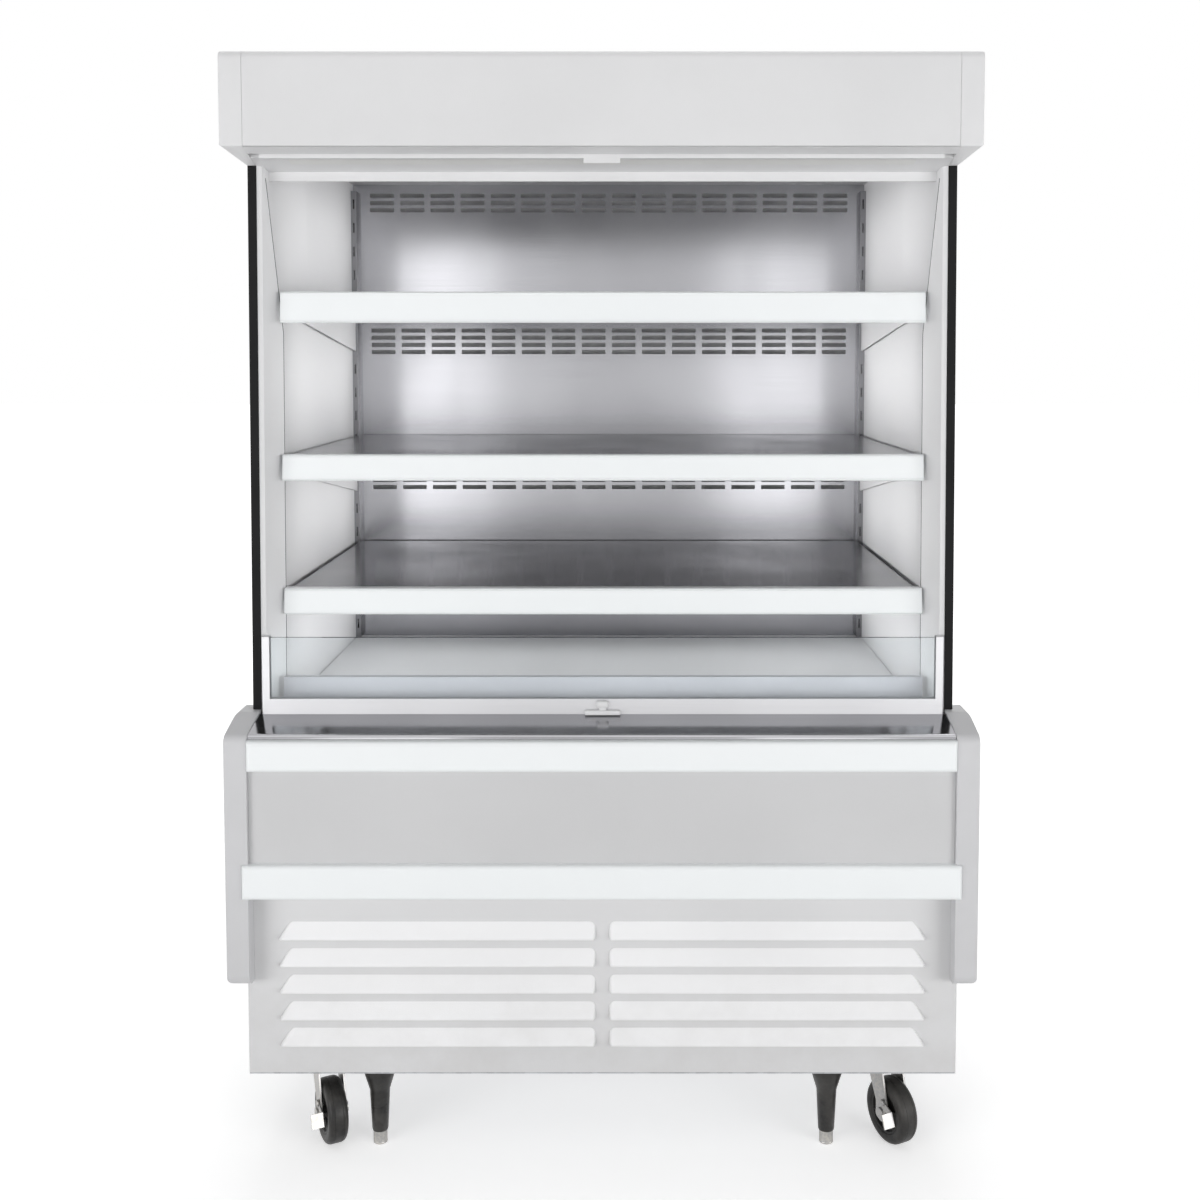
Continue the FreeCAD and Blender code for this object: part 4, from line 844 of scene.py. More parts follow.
class Former:
    """Geometry node trees that set out a small shape or sweep a section, each built once.

    Each tree is written by a function that takes its graph and inputs, and gives the shape that it makes.
    """

    def __init__(self) -> None:
        """Builds the trees."""
        self.rows = self._build("Rows and columns", self._rows, {
            "Columns": "Int", "Rows": "Int", "Start": "Vector", "Column step": "Vector", "Row step": "Vector",
            "Turn": "Vector", "Seed": "Int"})
        self.ring = self._build("Ring about an axle", self._ring,
                                {"Count": "Int", "Centre": "Vector", "Axle": "Vector"})
        self.sweep = self._build("Sweep along a line", self._sweep, {"Width": "Float", "Depth": "Float"})

    @staticmethod
    def _build(name: str, write: Callable[[Graph, Outputs], NodeSocket], sizes: dict[str, str]) -> NodeTree:
        """Makes one tree, which ends in real copies.

        Args:
            name: name of the tree.
            write: the function that writes the tree.
            sizes: kind of each input after the shape, by name.

        Returns:
            The tree.
        """
        tree = bpy.data.node_groups.new(name, "GeometryNodeTree")
        for label, kind in {"Shape": "Geometry", **sizes}.items():
            tree.interface.new_socket(label, in_out="INPUT", socket_type="NodeSocket" + kind)
        tree.interface.new_socket("Shape", in_out="OUTPUT", socket_type="NodeSocketGeometry")
        graph = Graph(tree)
        shape = write(graph, graph.add("NodeGroupInput").outputs)
        graph.add("NodeGroupOutput", {0: graph.add("GeometryNodeRealizeInstances", {0: shape}).outputs[0]})
        return tree

    @staticmethod
    def _copies(graph: Graph, points: NodeSocket, shape: NodeSocket, **turn: NodeSocket) -> NodeSocket:
        """Adds an Instance on Points node.

        Args:
            graph: tree to add to.
            points: the places.
            shape: what stands at each place.
            turn: how each copy is turned, as Rotation.

        Returns:
            The copies.
        """
        places = {"Points": points, "Instance": shape, **turn}
        return graph.add("GeometryNodeInstanceOnPoints", places).outputs[0]

    @classmethod
    def _rows(cls, graph: Graph, size: Outputs) -> NodeSocket:
        """Sets a shape out in columns and rows, each copy turned a little at random."""
        spacing = {"Count": size["Columns"], "Start Location": size["Start"], "Offset": size["Column step"]}
        columns = graph.add("GeometryNodeMeshLine", spacing, mode="OFFSET").outputs[0]
        rows = graph.add("GeometryNodeMeshLine", {"Count": size["Rows"], "Offset": size["Row step"]},
                         mode="OFFSET").outputs[0]
        spots = graph.add("GeometryNodeRealizeInstances", {0: cls._copies(graph, columns, rows)}).outputs[0]
        back = graph.add("ShaderNodeVectorMath", {0: size["Turn"], 1: (-1.0, -1.0, -1.0)},
                         operation="MULTIPLY")
        turn = graph.add("FunctionNodeRandomValue", {"Min": back.outputs[0], "Max": size["Turn"],
                                                     "Seed": size["Seed"]}, data_type="FLOAT_VECTOR")
        return cls._copies(graph, spots, size["Shape"], Rotation=turn.outputs[0])

    @classmethod
    def _ring(cls, graph: Graph, size: Outputs) -> NodeSocket:
        """Sets a shape out in an even ring about an axle."""
        spots = graph.add("GeometryNodeMeshLine", {"Count": size["Count"], "Start Location": size["Centre"],
                                                   "Offset": (0.0, 0.0, 0.0)}, mode="OFFSET").outputs[0]
        share = graph.sum("DIVIDE", graph.add("GeometryNodeInputIndex").outputs[0], size["Count"])
        turn = graph.add("FunctionNodeAxisAngleToRotation", {"Axis": size["Axle"],
                                                             "Angle": graph.times(share, math.tau)})
        return cls._copies(graph, spots, size["Shape"], Rotation=turn.outputs[0])

    @staticmethod
    def _sweep(graph: Graph, size: Outputs) -> NodeSocket:
        """Sweeps a small square section along a line and closes its ends."""
        path = graph.add("GeometryNodeMeshToCurve", {0: size["Shape"]}).outputs[0]
        section = graph.add("GeometryNodeCurvePrimitiveQuadrilateral", {"Width": size["Width"],
                                                                        "Height": size["Depth"]}).outputs[0]
        return graph.add("GeometryNodeCurveToMesh", {"Curve": path, "Profile Curve": section,
                                                     "Fill Caps": True}).outputs[0]

    @staticmethod
    def run(tree: NodeTree, name: str, start: BMesh, sizes: dict[str, object],
            smooth: Optional[float] = None, facing: Optional[Point] = None) -> Object:
        """Runs a tree on a shape and keeps the plain mesh that it makes.

        Args:
            tree: the tree to run.
            name: name of the piece.
            start: the shape or line that the tree starts from.
            sizes: the tree's inputs by name.
            smooth: angle in degrees under which edges of the shape shade as one face.
            facing: the way that an open sheet faces.

        Returns:
            The new object.
        """
        source = keep(name + "_start", start, smooth, facing)
        modifier = source.modifiers.new("form", "NODES")
        modifier.node_group = tree
        for socket in tree.interface.items_tree:
            if socket.in_out == "INPUT" and socket.name in sizes:
                modifier[socket.identifier] = sizes[socket.name]
        made = source.evaluated_get(bpy.context.evaluated_depsgraph_get())
        mesh = bpy.data.meshes.new_from_object(made)
        source.modifiers.remove(modifier)
        bpy.data.objects.remove(source)
        return keep(name, mesh)


# ---- sub-assemblies ----
class Part:
    """A formed part of the fridge."""

    def build(self, wardrobe: Wardrobe, former: Former) -> None:
        """Makes the part's pieces.

        Args:
            wardrobe: the finishes.
            former: the geometry trees.
        """
        raise NotImplementedError


@dataclass
class LouvrePanel(Part):
    """Lower front panel, pierced behind two columns of pressed hoods that are open at their lower edges."""

    rows: int = 5
    pitch: float = 45.3 * MM
    first: float = 202.0 * MM
    height: float = 28.0 * MM
    length: float = 525.0 * MM
    middle_gap: float = 23.0 * MM
    slant: float = 18.0 * MM
    projection: float = 11.0 * MM
    gauge: float = 1.2 * MM
    corner: float = 10.0 * MM
    end_wall: float = 4.5 * MM
    end_steps: int = 4
    steps: int = 12
    fall: float = 1.6
    swell: float = 0.7
    outward: Point = (0.0, -1.0, 0.0)

    def build(self, wardrobe: Wardrobe, former: Former) -> None:
        """Makes the plate and its hoods."""
        low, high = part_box("louvre_panel")
        face = high.y - self.gauge
        sheet = keep("louvre_plate", self._plate(high.x, face, low.z, high.z), facing=self.outward)
        plate = thicken(sheet, self.gauge)
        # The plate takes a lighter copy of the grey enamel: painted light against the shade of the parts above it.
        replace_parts(wardrobe.piece(plate, Slot.GREY_PANEL, "cabinet", "louvre_painted_light_enamel"), "louvre_panel")
        for name, side in (("right", 1.0), ("left", -1.0)):
            hoods = former.run(former.rows, "louvre_hoods_" + name, self._hood(side, face), {
                "Columns": 1, "Rows": self.rows, "Start": (0.0, 0.0, self.first),
                "Row step": (0.0, 0.0, self.pitch)}, 50.0, self.outward)
            # The hoods take a lighter enamel than their plate: a painted highlight on their up-facing slants.
            wardrobe.piece(thicken(hoods, self.gauge), Slot.WHITE_PANEL, "cabinet", "hood_painted_highlight_enamel")
        log.info("louvre panel: %d hoods", 2 * self.rows)

    def _plate(self, half: float, face: float, bottom: float, top: float) -> BMesh:
        """Makes the flat sheet with an opening behind each hood.

        Args:
            half: half its width.
            face: place of its front face.
            bottom: its lower edge.
            top: its upper edge.

        Returns:
            The open sheet.
        """
        inner = self.middle_gap / 2 + self.end_wall
        outer = self.middle_gap / 2 + self.length - self.slant - self.corner
        across = [-half, -outer, -inner, inner, outer, half]
        up = [bottom]
        for row in range(self.rows):
            up += [self.first + row * self.pitch + self.gauge,
                   self.first + row * self.pitch + self.height - self.corner]
        up.append(top)
        mesh = bmesh.new()
        grid = [[mesh.verts.new((x, face, z)) for x in across] for z in up]
        for j in range(len(up) - 1):
            for i in range(len(across) - 1):
                if not (j % 2 == 1 and i in (1, 3)):
                    mesh.faces.new((grid[j][i], grid[j][i + 1], grid[j + 1][i + 1], grid[j + 1][i]))
        return mesh

    def _hood(self, side: float, face: float) -> BMesh:
        """Makes one hood, with its lower edge at height 0.

        Args:
            side: 1 for the right column, -1 for the left one.
            face: place of the plate's front face.

        Returns:
            The open sheet.
        """
        mesh = bmesh.new()
        rows = []
        ends = [self.end_wall * step / self.end_steps for step in range(self.end_steps + 1)]
        for step in range(self.steps + 1):
            fall = (step / self.steps) ** self.fall
            depth = max(0.0, self.corner - fall * self.height)
            inset = self.corner - math.sqrt(self.corner ** 2 - depth ** 2)
            near = self.middle_gap / 2 + inset
            far = self.middle_gap / 2 + self.length - self.slant * (1.0 - fall) - 0.5 * inset
            across = [near + reach for reach in ends] + [far - reach for reach in ends[::-1]]
            row = []
            for x in across:
                wall = max(0.0, min(x - near, far - x) / self.end_wall)
                out = self.projection * fall * math.sin(math.pi / 2 * wall) ** self.swell
                row.append(mesh.verts.new((side * x, face - out, self.height * (1.0 - fall))))
            rows.append(row)
        for upper, lower in zip(rows, rows[1:]):
            for i in range(len(upper) - 1):
                mesh.faces.new((upper[i], upper[i + 1], lower[i + 1], lower[i]))
        return mesh


@dataclass
class CasterWheels(Part):
    """Four wheels with a crowned tread, a seated tyre and a ribbed hub."""

    radius: float = 54.0 * MM
    half_width: float = 17.0 * MM
    shoulder: float = 9.0 * MM
    boss_reach: float = 19.2 * MM
    boss_radius: float = 8.6 * MM
    bore: float = 5.1 * MM
    hub: tuple[Pair, ...] = ((-2.0, 10.0), (-6.0, 12.0), (-7.0, 15.0), (-7.0, 28.0), (-5.5, 31.0),
                             (-1.5, 32.5), (-1.0, 35.5), (-2.2, 36.2), (-0.8, 37.0), (0.0, 40.0))
    groove: tuple[Pair, ...] = ((-0.6, -0.9), (-1.2, -0.1))
    tread_half: float = 0.8 * MM
    shoulder_steps: int = 6
    ribs: int = 6
    rib_reach: Pair = (9.5 * MM, 33.0 * MM)
    rib_setback: float = 2.6 * MM
    rib_half: float = 1.3 * MM

    def build(self, wardrobe: Wardrobe, former: Former) -> None:
        """Makes each wheel on its own axle."""
        for joint in frame["joints"]:
            if not joint["name"].startswith("roll_"):
                continue
            corner = joint["name"].removeprefix("roll_")
            centre, axle = tuple(joint["pos_m"]), Vector(joint["axis"])
            rim = keep("rim_" + corner, lathe(self._profile(), centre, axle, 72), 32.0)
            ribs = former.run(former.ring, "ribs_" + corner, self._rib(axle), {
                "Count": self.ribs, "Centre": centre, "Axle": tuple(axle)})
            wheel = wardrobe.piece(gather("wheel_" + corner, [rim, ribs]), Slot.WHEEL, joint["child"])
            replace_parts(wheel, "caster_wheel_" + corner)
        log.info("casters: four wheels")

    def _profile(self) -> list[tuple[float, float]]:
        """Gives the wheel's section, from the bore round the tyre and back.

        Returns:
            Distances along the axle and from it.
        """
        w, r = self.half_width, self.radius
        side = [(self.boss_reach, self.bore), (self.boss_reach, self.boss_radius)]
        side += [(w + reach * MM, height * MM) for reach, height in self.hub]
        for step in range(self.shoulder_steps + 1):
            angle = math.pi / 2 * step / self.shoulder_steps
            side.append((w - self.shoulder * (1.0 - math.cos(angle)),
                         r - self.shoulder * (1.0 - math.sin(angle))))
        side += [(w - self.shoulder + reach * MM, r + height * MM) for reach, height in self.groove]
        side.append((self.tread_half, r))
        return side + [(-reach, height) for reach, height in reversed(side)]

    def _rib(self, axle: Vector) -> BMesh:
        """Makes one hub rib that reaches from the boss to the rim.

        Args:
            axle: direction of the axle.

        Returns:
            The rib, about the wheel's centre.
        """
        out = axle.orthogonal().normalized()
        side = axle.cross(out)
        deep, thin = self.half_width - self.rib_setback, self.rib_half
        rings = []
        for reach in self.rib_reach:
            corners = ((-deep, -thin), (deep, -thin), (deep, thin), (-deep, thin))
            rings.append([axle * along + side * across + out * reach for along, across in corners])
        return loft(rings)


@dataclass
class AirHoneycomb(Part):
    """Hexagonal cells in a thin frame, which straighten the curtain of cold air."""

    cell: float = 7.6 * MM
    wall: float = 0.35 * MM
    frame_wall: float = 1.2 * MM
    rows: int = 7

    def build(self, wardrobe: Wardrobe, former: Former) -> None:
        """Makes the cells and their frame."""
        low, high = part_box("air_honeycomb")
        row_step = self.cell * math.sqrt(3.0) / 2
        columns = int((high.x - low.x - 2 * self.frame_wall) / self.cell) - 1
        first = (-(columns - 0.5) * self.cell / 2,
                 (low.y + high.y) / 2 - row_step * (self.rows - 1) / 2, low.z)
        parts = []
        for odd in (0, 1):
            parts.append(former.run(former.rows, f"cells_{odd}", self._cell(high.z - low.z), {
                "Columns": columns, "Rows": (self.rows + 1 - odd) // 2,
                "Start": (first[0] + odd * self.cell / 2, first[1] + odd * row_step, first[2]),
                "Column step": (self.cell, 0.0, 0.0), "Row step": (0.0, 2 * row_step, 0.0)}))
        t = self.frame_wall
        for name, a, b in (("front", (low.x, low.y), (high.x, low.y + t)),
                           ("rear", (low.x, high.y - t), (high.x, high.y)),
                           ("left", (low.x, low.y + t), (low.x + t, high.y - t)),
                           ("right", (high.x - t, low.y + t), (high.x, high.y - t))):
            parts.append(keep("cell_frame_" + name, block((*a, low.z), (*b, high.z))))
        grid = wardrobe.piece(gather("honeycomb_cells", parts), Slot.HONEYCOMB, "cabinet")
        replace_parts(grid, "air_honeycomb")
        log.info("air honeycomb: %d cells", columns * self.rows)

    def _cell(self, height: float) -> BMesh:
        """Makes one open cell: its inner walls and its upper and lower rims.

        Args:
            height: height of the cell.

        Returns:
            The cell, standing on height 0.
        """
        side = self.cell / math.sqrt(3.0)
        mesh = bmesh.new()
        rings = []
        for radius, z in ((side, 0.0), (side - self.wall, 0.0), (side - self.wall, height), (side, height)):
            turns = [math.pi / 3 * i for i in range(6)]
            rings.append([mesh.verts.new((radius * math.sin(turn), radius * math.cos(turn), z))
                          for turn in turns])
        for near, far in zip(rings, rings[1:]):
            for i in range(6):
                mesh.faces.new((near[i], near[(i + 1) % 6], far[(i + 1) % 6], far[i]))
        return mesh


@dataclass
class CoilFins(Part):
    """Thin fins between the few thick ones of a coil's block."""

    node: str
    width: float
    plates: int
    between: int
    gauge: float = 0.25 * MM
    inset: float = 0.4 * MM

    def build(self, wardrobe: Wardrobe, former: Former) -> None:
        """Fills the coil with its fins."""
        low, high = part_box(self.node)
        left = (low.x + high.x - self.width) / 2
        step = self.width / (self.plates - 1) / (self.between + 1)
        fin = block((-self.gauge / 2, low.y + self.inset, low.z + self.inset),
                    (self.gauge / 2, high.y - self.inset, high.z - self.inset))
        fins = former.run(former.rows, self.node.replace("coil", "fins"), fin, {
            "Columns": self.plates - 1, "Rows": self.between, "Start": (left + step, 0.0, 0.0),
            "Column step": (step * (self.between + 1), 0.0, 0.0), "Row step": (step, 0.0, 0.0)})
        wardrobe.piece(fins, Slot.BARE_ALUMINIUM, "cabinet")
        log.info("%s: %d fins", self.node, (self.plates - 1) * self.between)


@dataclass
class Fasteners(Part):
    """Screws of the rear and roof skins, and the bolts that hold the caster plates."""

    head: float = 4.4 * MM
    rise: float = 2.2 * MM
    edge: float = 12.0 * MM
    bolt_across: float = 13.0 * MM
    bolt_place: Pair = (40.0 * MM, 30.0 * MM)
    bolt_rings: tuple[Pair, ...] = ((1.12, 0.0), (1.12, -1.2), (1.0, -1.2), (1.0, -4.8), (0.82, -5.5))
    plate: float = 4.0 * MM
    recess: tuple[Point, ...] = ((1.0, 1.0, 0.0), (0.9, 1.0, 0.6), (0.62, 1.0, 0.94), (0.5, 0.34, 1.0),
                                 (0.42, 0.3, 0.35))

    def build(self, wardrobe: Wardrobe, former: Former) -> None:
        """Sets out every screw and bolt."""
        low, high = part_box("rear_skin")
        reach, foot, rise = high.x - self.edge, low.z + self.edge, high.z - low.z - 2 * self.edge
        third = reach / 3
        fields = [("rear_side_screws", "y", high.y, (-reach, foot), 2, (2 * reach, 0.0), 9, (0.0, rise / 8)),
                  ("rear_end_screws", "y", high.y, (-2 * third, foot), 5, (third, 0.0), 2, (0.0, rise))]
        low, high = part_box("roof_skin")
        start, run = low.y + 3 * self.edge, high.y - low.y - 4 * self.edge
        fields += [("roof_side_screws", "z", high.z, (-reach, start), 2, (2 * reach, 0.0), 5, (0.0, run / 4)),
                   ("roof_end_screws", "z", high.z, (-2 * third, start), 5, (third, 0.0), 2, (0.0, run))]
        for name, way, level, first, columns, across, rows, along in fields:
            screws = former.run(former.rows, name, self._screw(way), {
                "Columns": columns, "Rows": rows, "Start": self._turned(way, *first, level),
                "Column step": self._turned(way, *across, 0.0), "Row step": self._turned(way, *along, 0.0),
                "Turn": self._turned(way, 0.0, 0.0, 0.8), "Seed": 7}, 40.0)
            wardrobe.piece(screws, Slot.ZINC, "cabinet")
        self._bolts(wardrobe, former)
        log.info("fasteners: screws and caster bolts")

    @staticmethod
    def _turned(way: str, across: float, along: float, out: float) -> Point:
        """Gives a place on the rear ("y") or the roof ("z").

        Args:
            way: axis that the screws point along.
            across: place along X.
            along: place along the other axis of the sheet.
            out: place along the screws' own axis.

        Returns:
            The point.
        """
        return (across, out, along) if way == "y" else (across, along, out)

    def _screw(self, way: str) -> BMesh:
        """Makes a pan head screw with a cross recess.

        Args:
            way: axis that it points along, "y" or "z".

        Returns:
            The screw, seated at the origin.
        """
        rings = []
        for share, star, height in self.recess:
            ring = []
            for i in range(8):
                reach = self.head * share * (star if i % 2 else 1.0)
                across, along = reach * math.cos(math.pi / 4 * i), reach * math.sin(math.pi / 4 * i)
                ring.append(self._turned(way, across, along, self.rise * height))
            rings.append(ring)
        return loft(rings)

    def _bolts(self, wardrobe: Wardrobe, former: Former) -> None:
        """Makes the four hexagon bolts with washers under each caster plate.

        Args:
            wardrobe: the finishes.
            former: the geometry trees.
        """
        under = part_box("caster_plates")[1].z - self.plate
        side = self.bolt_across / math.sqrt(3.0)
        hexagon = [(side * math.cos(math.pi / 3 * i), side * math.sin(math.pi / 3 * i)) for i in range(6)]
        rings = [[(share * x, share * y, z * MM) for x, y in hexagon] for share, z in self.bolt_rings]
        across, along = self.bolt_place
        spots = [joint["pos_m"] for joint in frame["joints"] if joint["name"].startswith("swivel_")]
        groups = []
        for index, spot in enumerate(spots):
            groups.append(former.run(former.rows, f"bolts_{index}", loft(rings), {
                "Columns": 2, "Rows": 2, "Start": (spot[0] - across, spot[1] - along, under),
                "Column step": (2 * across, 0.0, 0.0), "Row step": (0.0, 2 * along, 0.0),
                "Turn": (0.0, 0.0, 0.5), "Seed": index}))
        wardrobe.piece(gather("caster_bolts", groups), Slot.ZINC, "cabinet")


@dataclass
class PriceRails(Part):
    """Ticket lips along the price rails, and the plates that close their ends."""

    lip_height: float = 3.0 * MM
    lip_proud: float = 1.3 * MM
    tilt: float = 4.0 * MM
    lip_inset: float = 3.2 * MM
    end_gap: float = 0.2 * MM
    end_plate: float = 1.5 * MM
    margin: float = 0.8 * MM
    toe: float = 6.0 * MM
    depth: float = 20.0 * MM

    def build(self, wardrobe: Wardrobe, former: Former) -> None:
        """Makes the lips and end plates of each shelf's rail."""
        for level in ("bottom", "middle", "top"):
            low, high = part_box("price_rail_" + level)
            parts = []
            left, right = low.x + self.end_gap, high.x - self.end_gap
            for name, z in (("upper", high.z - self.lip_inset), ("lower", low.z + self.lip_inset)):
                y = low.y + self.tilt * (z - low.z) / (high.z - low.z)
                lip = line([(left, y, z), (right, y, z)])
                parts.append(former.run(former.sweep, f"{name}_lip_{level}", lip, {
                    "Width": self.lip_proud, "Depth": self.lip_height}))
            m, top, foot = self.margin, high.z - self.margin, low.z + self.margin
            outline = [(low.y + self.tilt + m, top), (low.y + m, foot), (low.y + self.toe, foot),
                       (low.y + self.depth, top)]
            for name, x in (("left", left), ("right", right - self.end_plate)):
                parts.append(keep(f"{name}_plate_{level}",
                                  loft([[(x + t, y, z) for y, z in outline] for t in (0.0, self.end_plate)])))
            wardrobe.piece(gather("price_rail_trim_" + level, parts), Slot.WHITE_STRIP, "shelf_" + level)
        log.info("price rails: lips and end plates")


@dataclass
class SmallParts(Part):
    """Curtain catch, levelling legs with fluted feet, and a black bead along each end liner's fold that paints the
    fold's shade line.
    """

    catch_foot: float = 8.0 * MM
    catch_radius: float = 2.2 * MM
    stem_half: float = 6.0 * MM
    stem_setback: float = 2.5 * MM
    stem_ends: Pair = (6.0 * MM, 8.0 * MM)
    knob_half: float = 10.5 * MM
    knob_height: float = 12.0 * MM
    knob_radius: float = 4.0 * MM
    flutes: int = 12
    grip: tuple[Point, ...] = ((0.0, 0.93, 0.0), (0.9, 1.0, 0.0), (2.6, 1.0, 0.0), (3.4, 1.0, 0.06),
                               (18.0, 1.0, 0.06), (18.8, 1.0, 0.0))
    leg_bore: float = 0.4 * MM
    leg_taper: tuple[Pair, ...] = ((124.0, 26.3), (122.0, 25.7), (100.0, 19.0), (94.0, 17.2), (88.0, 16.9))
    leg_tip: tuple[Pair, ...] = ((3.0, 13.9), (0.0, 13.3))
    # Size and path of the black bead that paints the shade line along each end liner's fold.
    fold_shade_width: float = 1.1 * MM
    seam_path: tuple[Point, ...] = ((0.5482, -0.2817, 0.76), (0.5482, -0.2684, 1.385),
                                    (0.5652, -0.3069, 1.645))

    def build(self, wardrobe: Wardrobe, former: Former) -> None:
        """Makes the small pieces."""
        self._catch(wardrobe)
        for side in ("left", "right"):
            self._foot(wardrobe, side)
        self._legs(wardrobe)
        # The liner beads paint the shade line along each fold.
        self._fold_shade_beads(wardrobe, former)
        log.info("curtain catch, levelling feet and liner seams")

    def _catch(self, wardrobe: Wardrobe) -> None:
        """Makes the rounded catch that the curtain's pull bar hooks on.

        Args:
            wardrobe: the finishes.
        """
        low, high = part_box("curtain_catch")
        under, over = self.stem_ends
        foot = block(low, (high.x, high.y, low.z + self.catch_foot), self.catch_radius, 3)
        stem = block((-self.stem_half, low.y + self.stem_setback, low.z + under),
                     (self.stem_half, high.y, high.z - over), 1.0 * MM)
        knob = block((-self.knob_half, low.y, high.z - self.knob_height), (self.knob_half, high.y, high.z),
                     self.knob_radius, 4)
        shapes = [keep(f"catch_{i}", part, 60.0) for i, part in enumerate((foot, stem, knob))]
        catch = gather("moulded_catch", shapes)
        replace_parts(wardrobe.piece(catch, Slot.WHITE_CAP, "cabinet"), "curtain_catch")

    def _foot(self, wardrobe: Wardrobe, side: str) -> None:
        """Makes a levelling foot with a fluted grip.

        Args:
            wardrobe: the finishes.
            side: "left" or "right".
        """
        low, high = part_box("levelling_foot_" + side)
        x, y, radius = (low.x + high.x) / 2, (low.y + high.y) / 2, (high.x - low.x) / 2
        rings = []
        levels = [(low.z + z * MM, share, fluted) for z, share, fluted in self.grip]
        for z, share, fluted in levels + [(high.z - 1.0 * MM, 1.0, 0.0), (high.z, 0.94, 0.0)]:
            ring = []
            for i in range(4 * self.flutes):
                angle = math.tau * i / (4 * self.flutes)
                reach = radius * share * (1.0 - fluted * (0.5 + 0.5 * math.cos(self.flutes * angle)))
                ring.append((x + reach * math.cos(angle), y + reach * math.sin(angle), z))
            rings.append(ring)
        foot = wardrobe.piece(keep("fluted_foot_" + side, loft(rings), 30.0), Slot.ZINC, "foot_" + side)
        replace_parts(foot, "levelling_foot_" + side)

    def _legs(self, wardrobe: Wardrobe) -> None:
        """Turns the two black legs, which flare to their flanges under the frame.

        Args:
            wardrobe: the finishes.
        """
        low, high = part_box("leg_sockets")
        legs = []
        for side in ("left", "right"):
            foot_low, foot_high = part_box("levelling_foot_" + side)
            bore = (foot_high.x - foot_low.x) / 2 + self.leg_bore
            profile = [(high.z, bore), (high.z, self.leg_taper[0][1] * MM)]
            profile += [(z * MM, radius * MM) for z, radius in self.leg_taper]
            profile += [(low.z + z * MM, radius * MM) for z, radius in self.leg_tip] + [(low.z, bore)]
            centre = ((foot_low.x + foot_high.x) / 2, (foot_low.y + foot_high.y) / 2, 0.0)
            legs.append(keep("leg_" + side, lathe(profile, centre, (0.0, 0.0, 1.0)), 35.0))
        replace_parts(wardrobe.piece(gather("flared_legs", legs), Slot.BLACK_PLASTIC, "cabinet"), "leg_sockets")

    def _fold_shade_beads(self, wardrobe: Wardrobe, former: Former) -> None:
        """Runs a thin black bead along the fold between each end liner's front edge and its inner face, as painted
        shade of the fold.

        Args:
            wardrobe: the finishes.
            former: the geometry trees.
        """
        beads = []
        for name, side in (("left", -1.0), ("right", 1.0)):
            path = line([(side * x, y, z) for x, y, z in self.seam_path])
            beads.append(former.run(former.sweep, "seam_" + name, path, {
                "Width": self.fold_shade_width, "Depth": self.fold_shade_width}))
        # A black bead that paints the shade line of the fold.
        wardrobe.piece(gather("end_liner_fold_shade", beads), Slot.BLACK_TRIM, "cabinet")


@dataclass
class NightCurtain(Part):
    """The length of curtain cloth that hangs between the roller and the pull bar."""

    columns: int = 60
    rows: int = 12
    drawn_length: float = 0.983
    tube_radius: float = 22.0 * MM
    tube_bore: float = 6.2 * MM
    turns: int = 12
    wave: float = 0.2 * MM
    layer: float = 0.5 * MM

    def build(self, wardrobe: Wardrobe, former: Former) -> None:
        low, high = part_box("curtain_cloth")
        width, drop, middle = high.x - low.x, high.z - low.z, (low.y + high.y) / 2
        mesh = bmesh.new()
        laid = mesh.loops.layers.uv.new("cloth")
        grid = [[mesh.verts.new((low.x + width * i / self.columns,
                                 middle + self.wave * math.sin(i * 1.7) * math.sin(math.pi * j / self.rows),
                                 high.z - drop * j / self.rows)) for i in range(self.columns + 1)]
                for j in range(self.rows + 1)]
        for j in range(self.rows):
            for i in range(self.columns):
                face = mesh.faces.new((grid[j][i], grid[j][i + 1], grid[j + 1][i + 1], grid[j + 1][i]))
                for loop in face.loops:
                    spot = loop.vert.co
                    loop[laid].uv = (spot.x, (high.z - spot.z) / drop * self.drawn_length)
        cloth = keep("night_curtain_cloth", mesh, 80.0)
        cloth.data.materials.append(wardrobe.materials[Slot.CLOTH])
        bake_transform(cloth)
        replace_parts(cloth, "curtain_cloth")
        self._roll(wardrobe)
        log.info("night curtain: %.3f x %.3f m of cloth hangs", width, drop)

    def _roll(self, wardrobe: Wardrobe) -> None:
        """Makes the roller's tube and the turns of cloth that are wound on it.

        Args:
            wardrobe: the finishes.
        """
        low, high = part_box("curtain_roller")
        cloth_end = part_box("curtain_cloth")[1].x
        centre = (0.0, (low.y + high.y) / 2, (low.z + high.z) / 2)
        wound = (high.z - low.z) / 2
        tube_profile = [(low.x, self.tube_bore), (low.x, self.tube_radius), (high.x, self.tube_radius),
                        (high.x, self.tube_bore)]
        tube = wardrobe.piece(keep("roller_tube", lathe(tube_profile, centre, (1.0, 0.0, 0.0)), 40.0),
                              Slot.BARE_ALUMINIUM, "curtain_roller")
        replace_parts(tube, "curtain_roller")
        side = []
        for turn in range(self.turns + 1):
            radius = self.tube_radius + (wound - self.tube_radius) * turn / self.turns
            side += [(cloth_end - (self.layer if turn % 2 else 0.0), radius)]
        profile = side + [(-reach, radius) for reach, radius in reversed(side)]
        roll = keep("wound_cloth", lathe(profile, centre, (1.0, 0.0, 0.0)), 40.0)
        laid = roll.data.uv_layers.new(name="cloth")
        for loop in roll.data.loops:
            spot = roll.data.vertices[loop.vertex_index].co
            angle = math.atan2(spot.z - centre[2], spot.y - centre[1])
            laid.data[loop.index].uv = (spot.x, wound * angle)
        wardrobe.piece(roll, Slot.CLOTH, "curtain_roller")


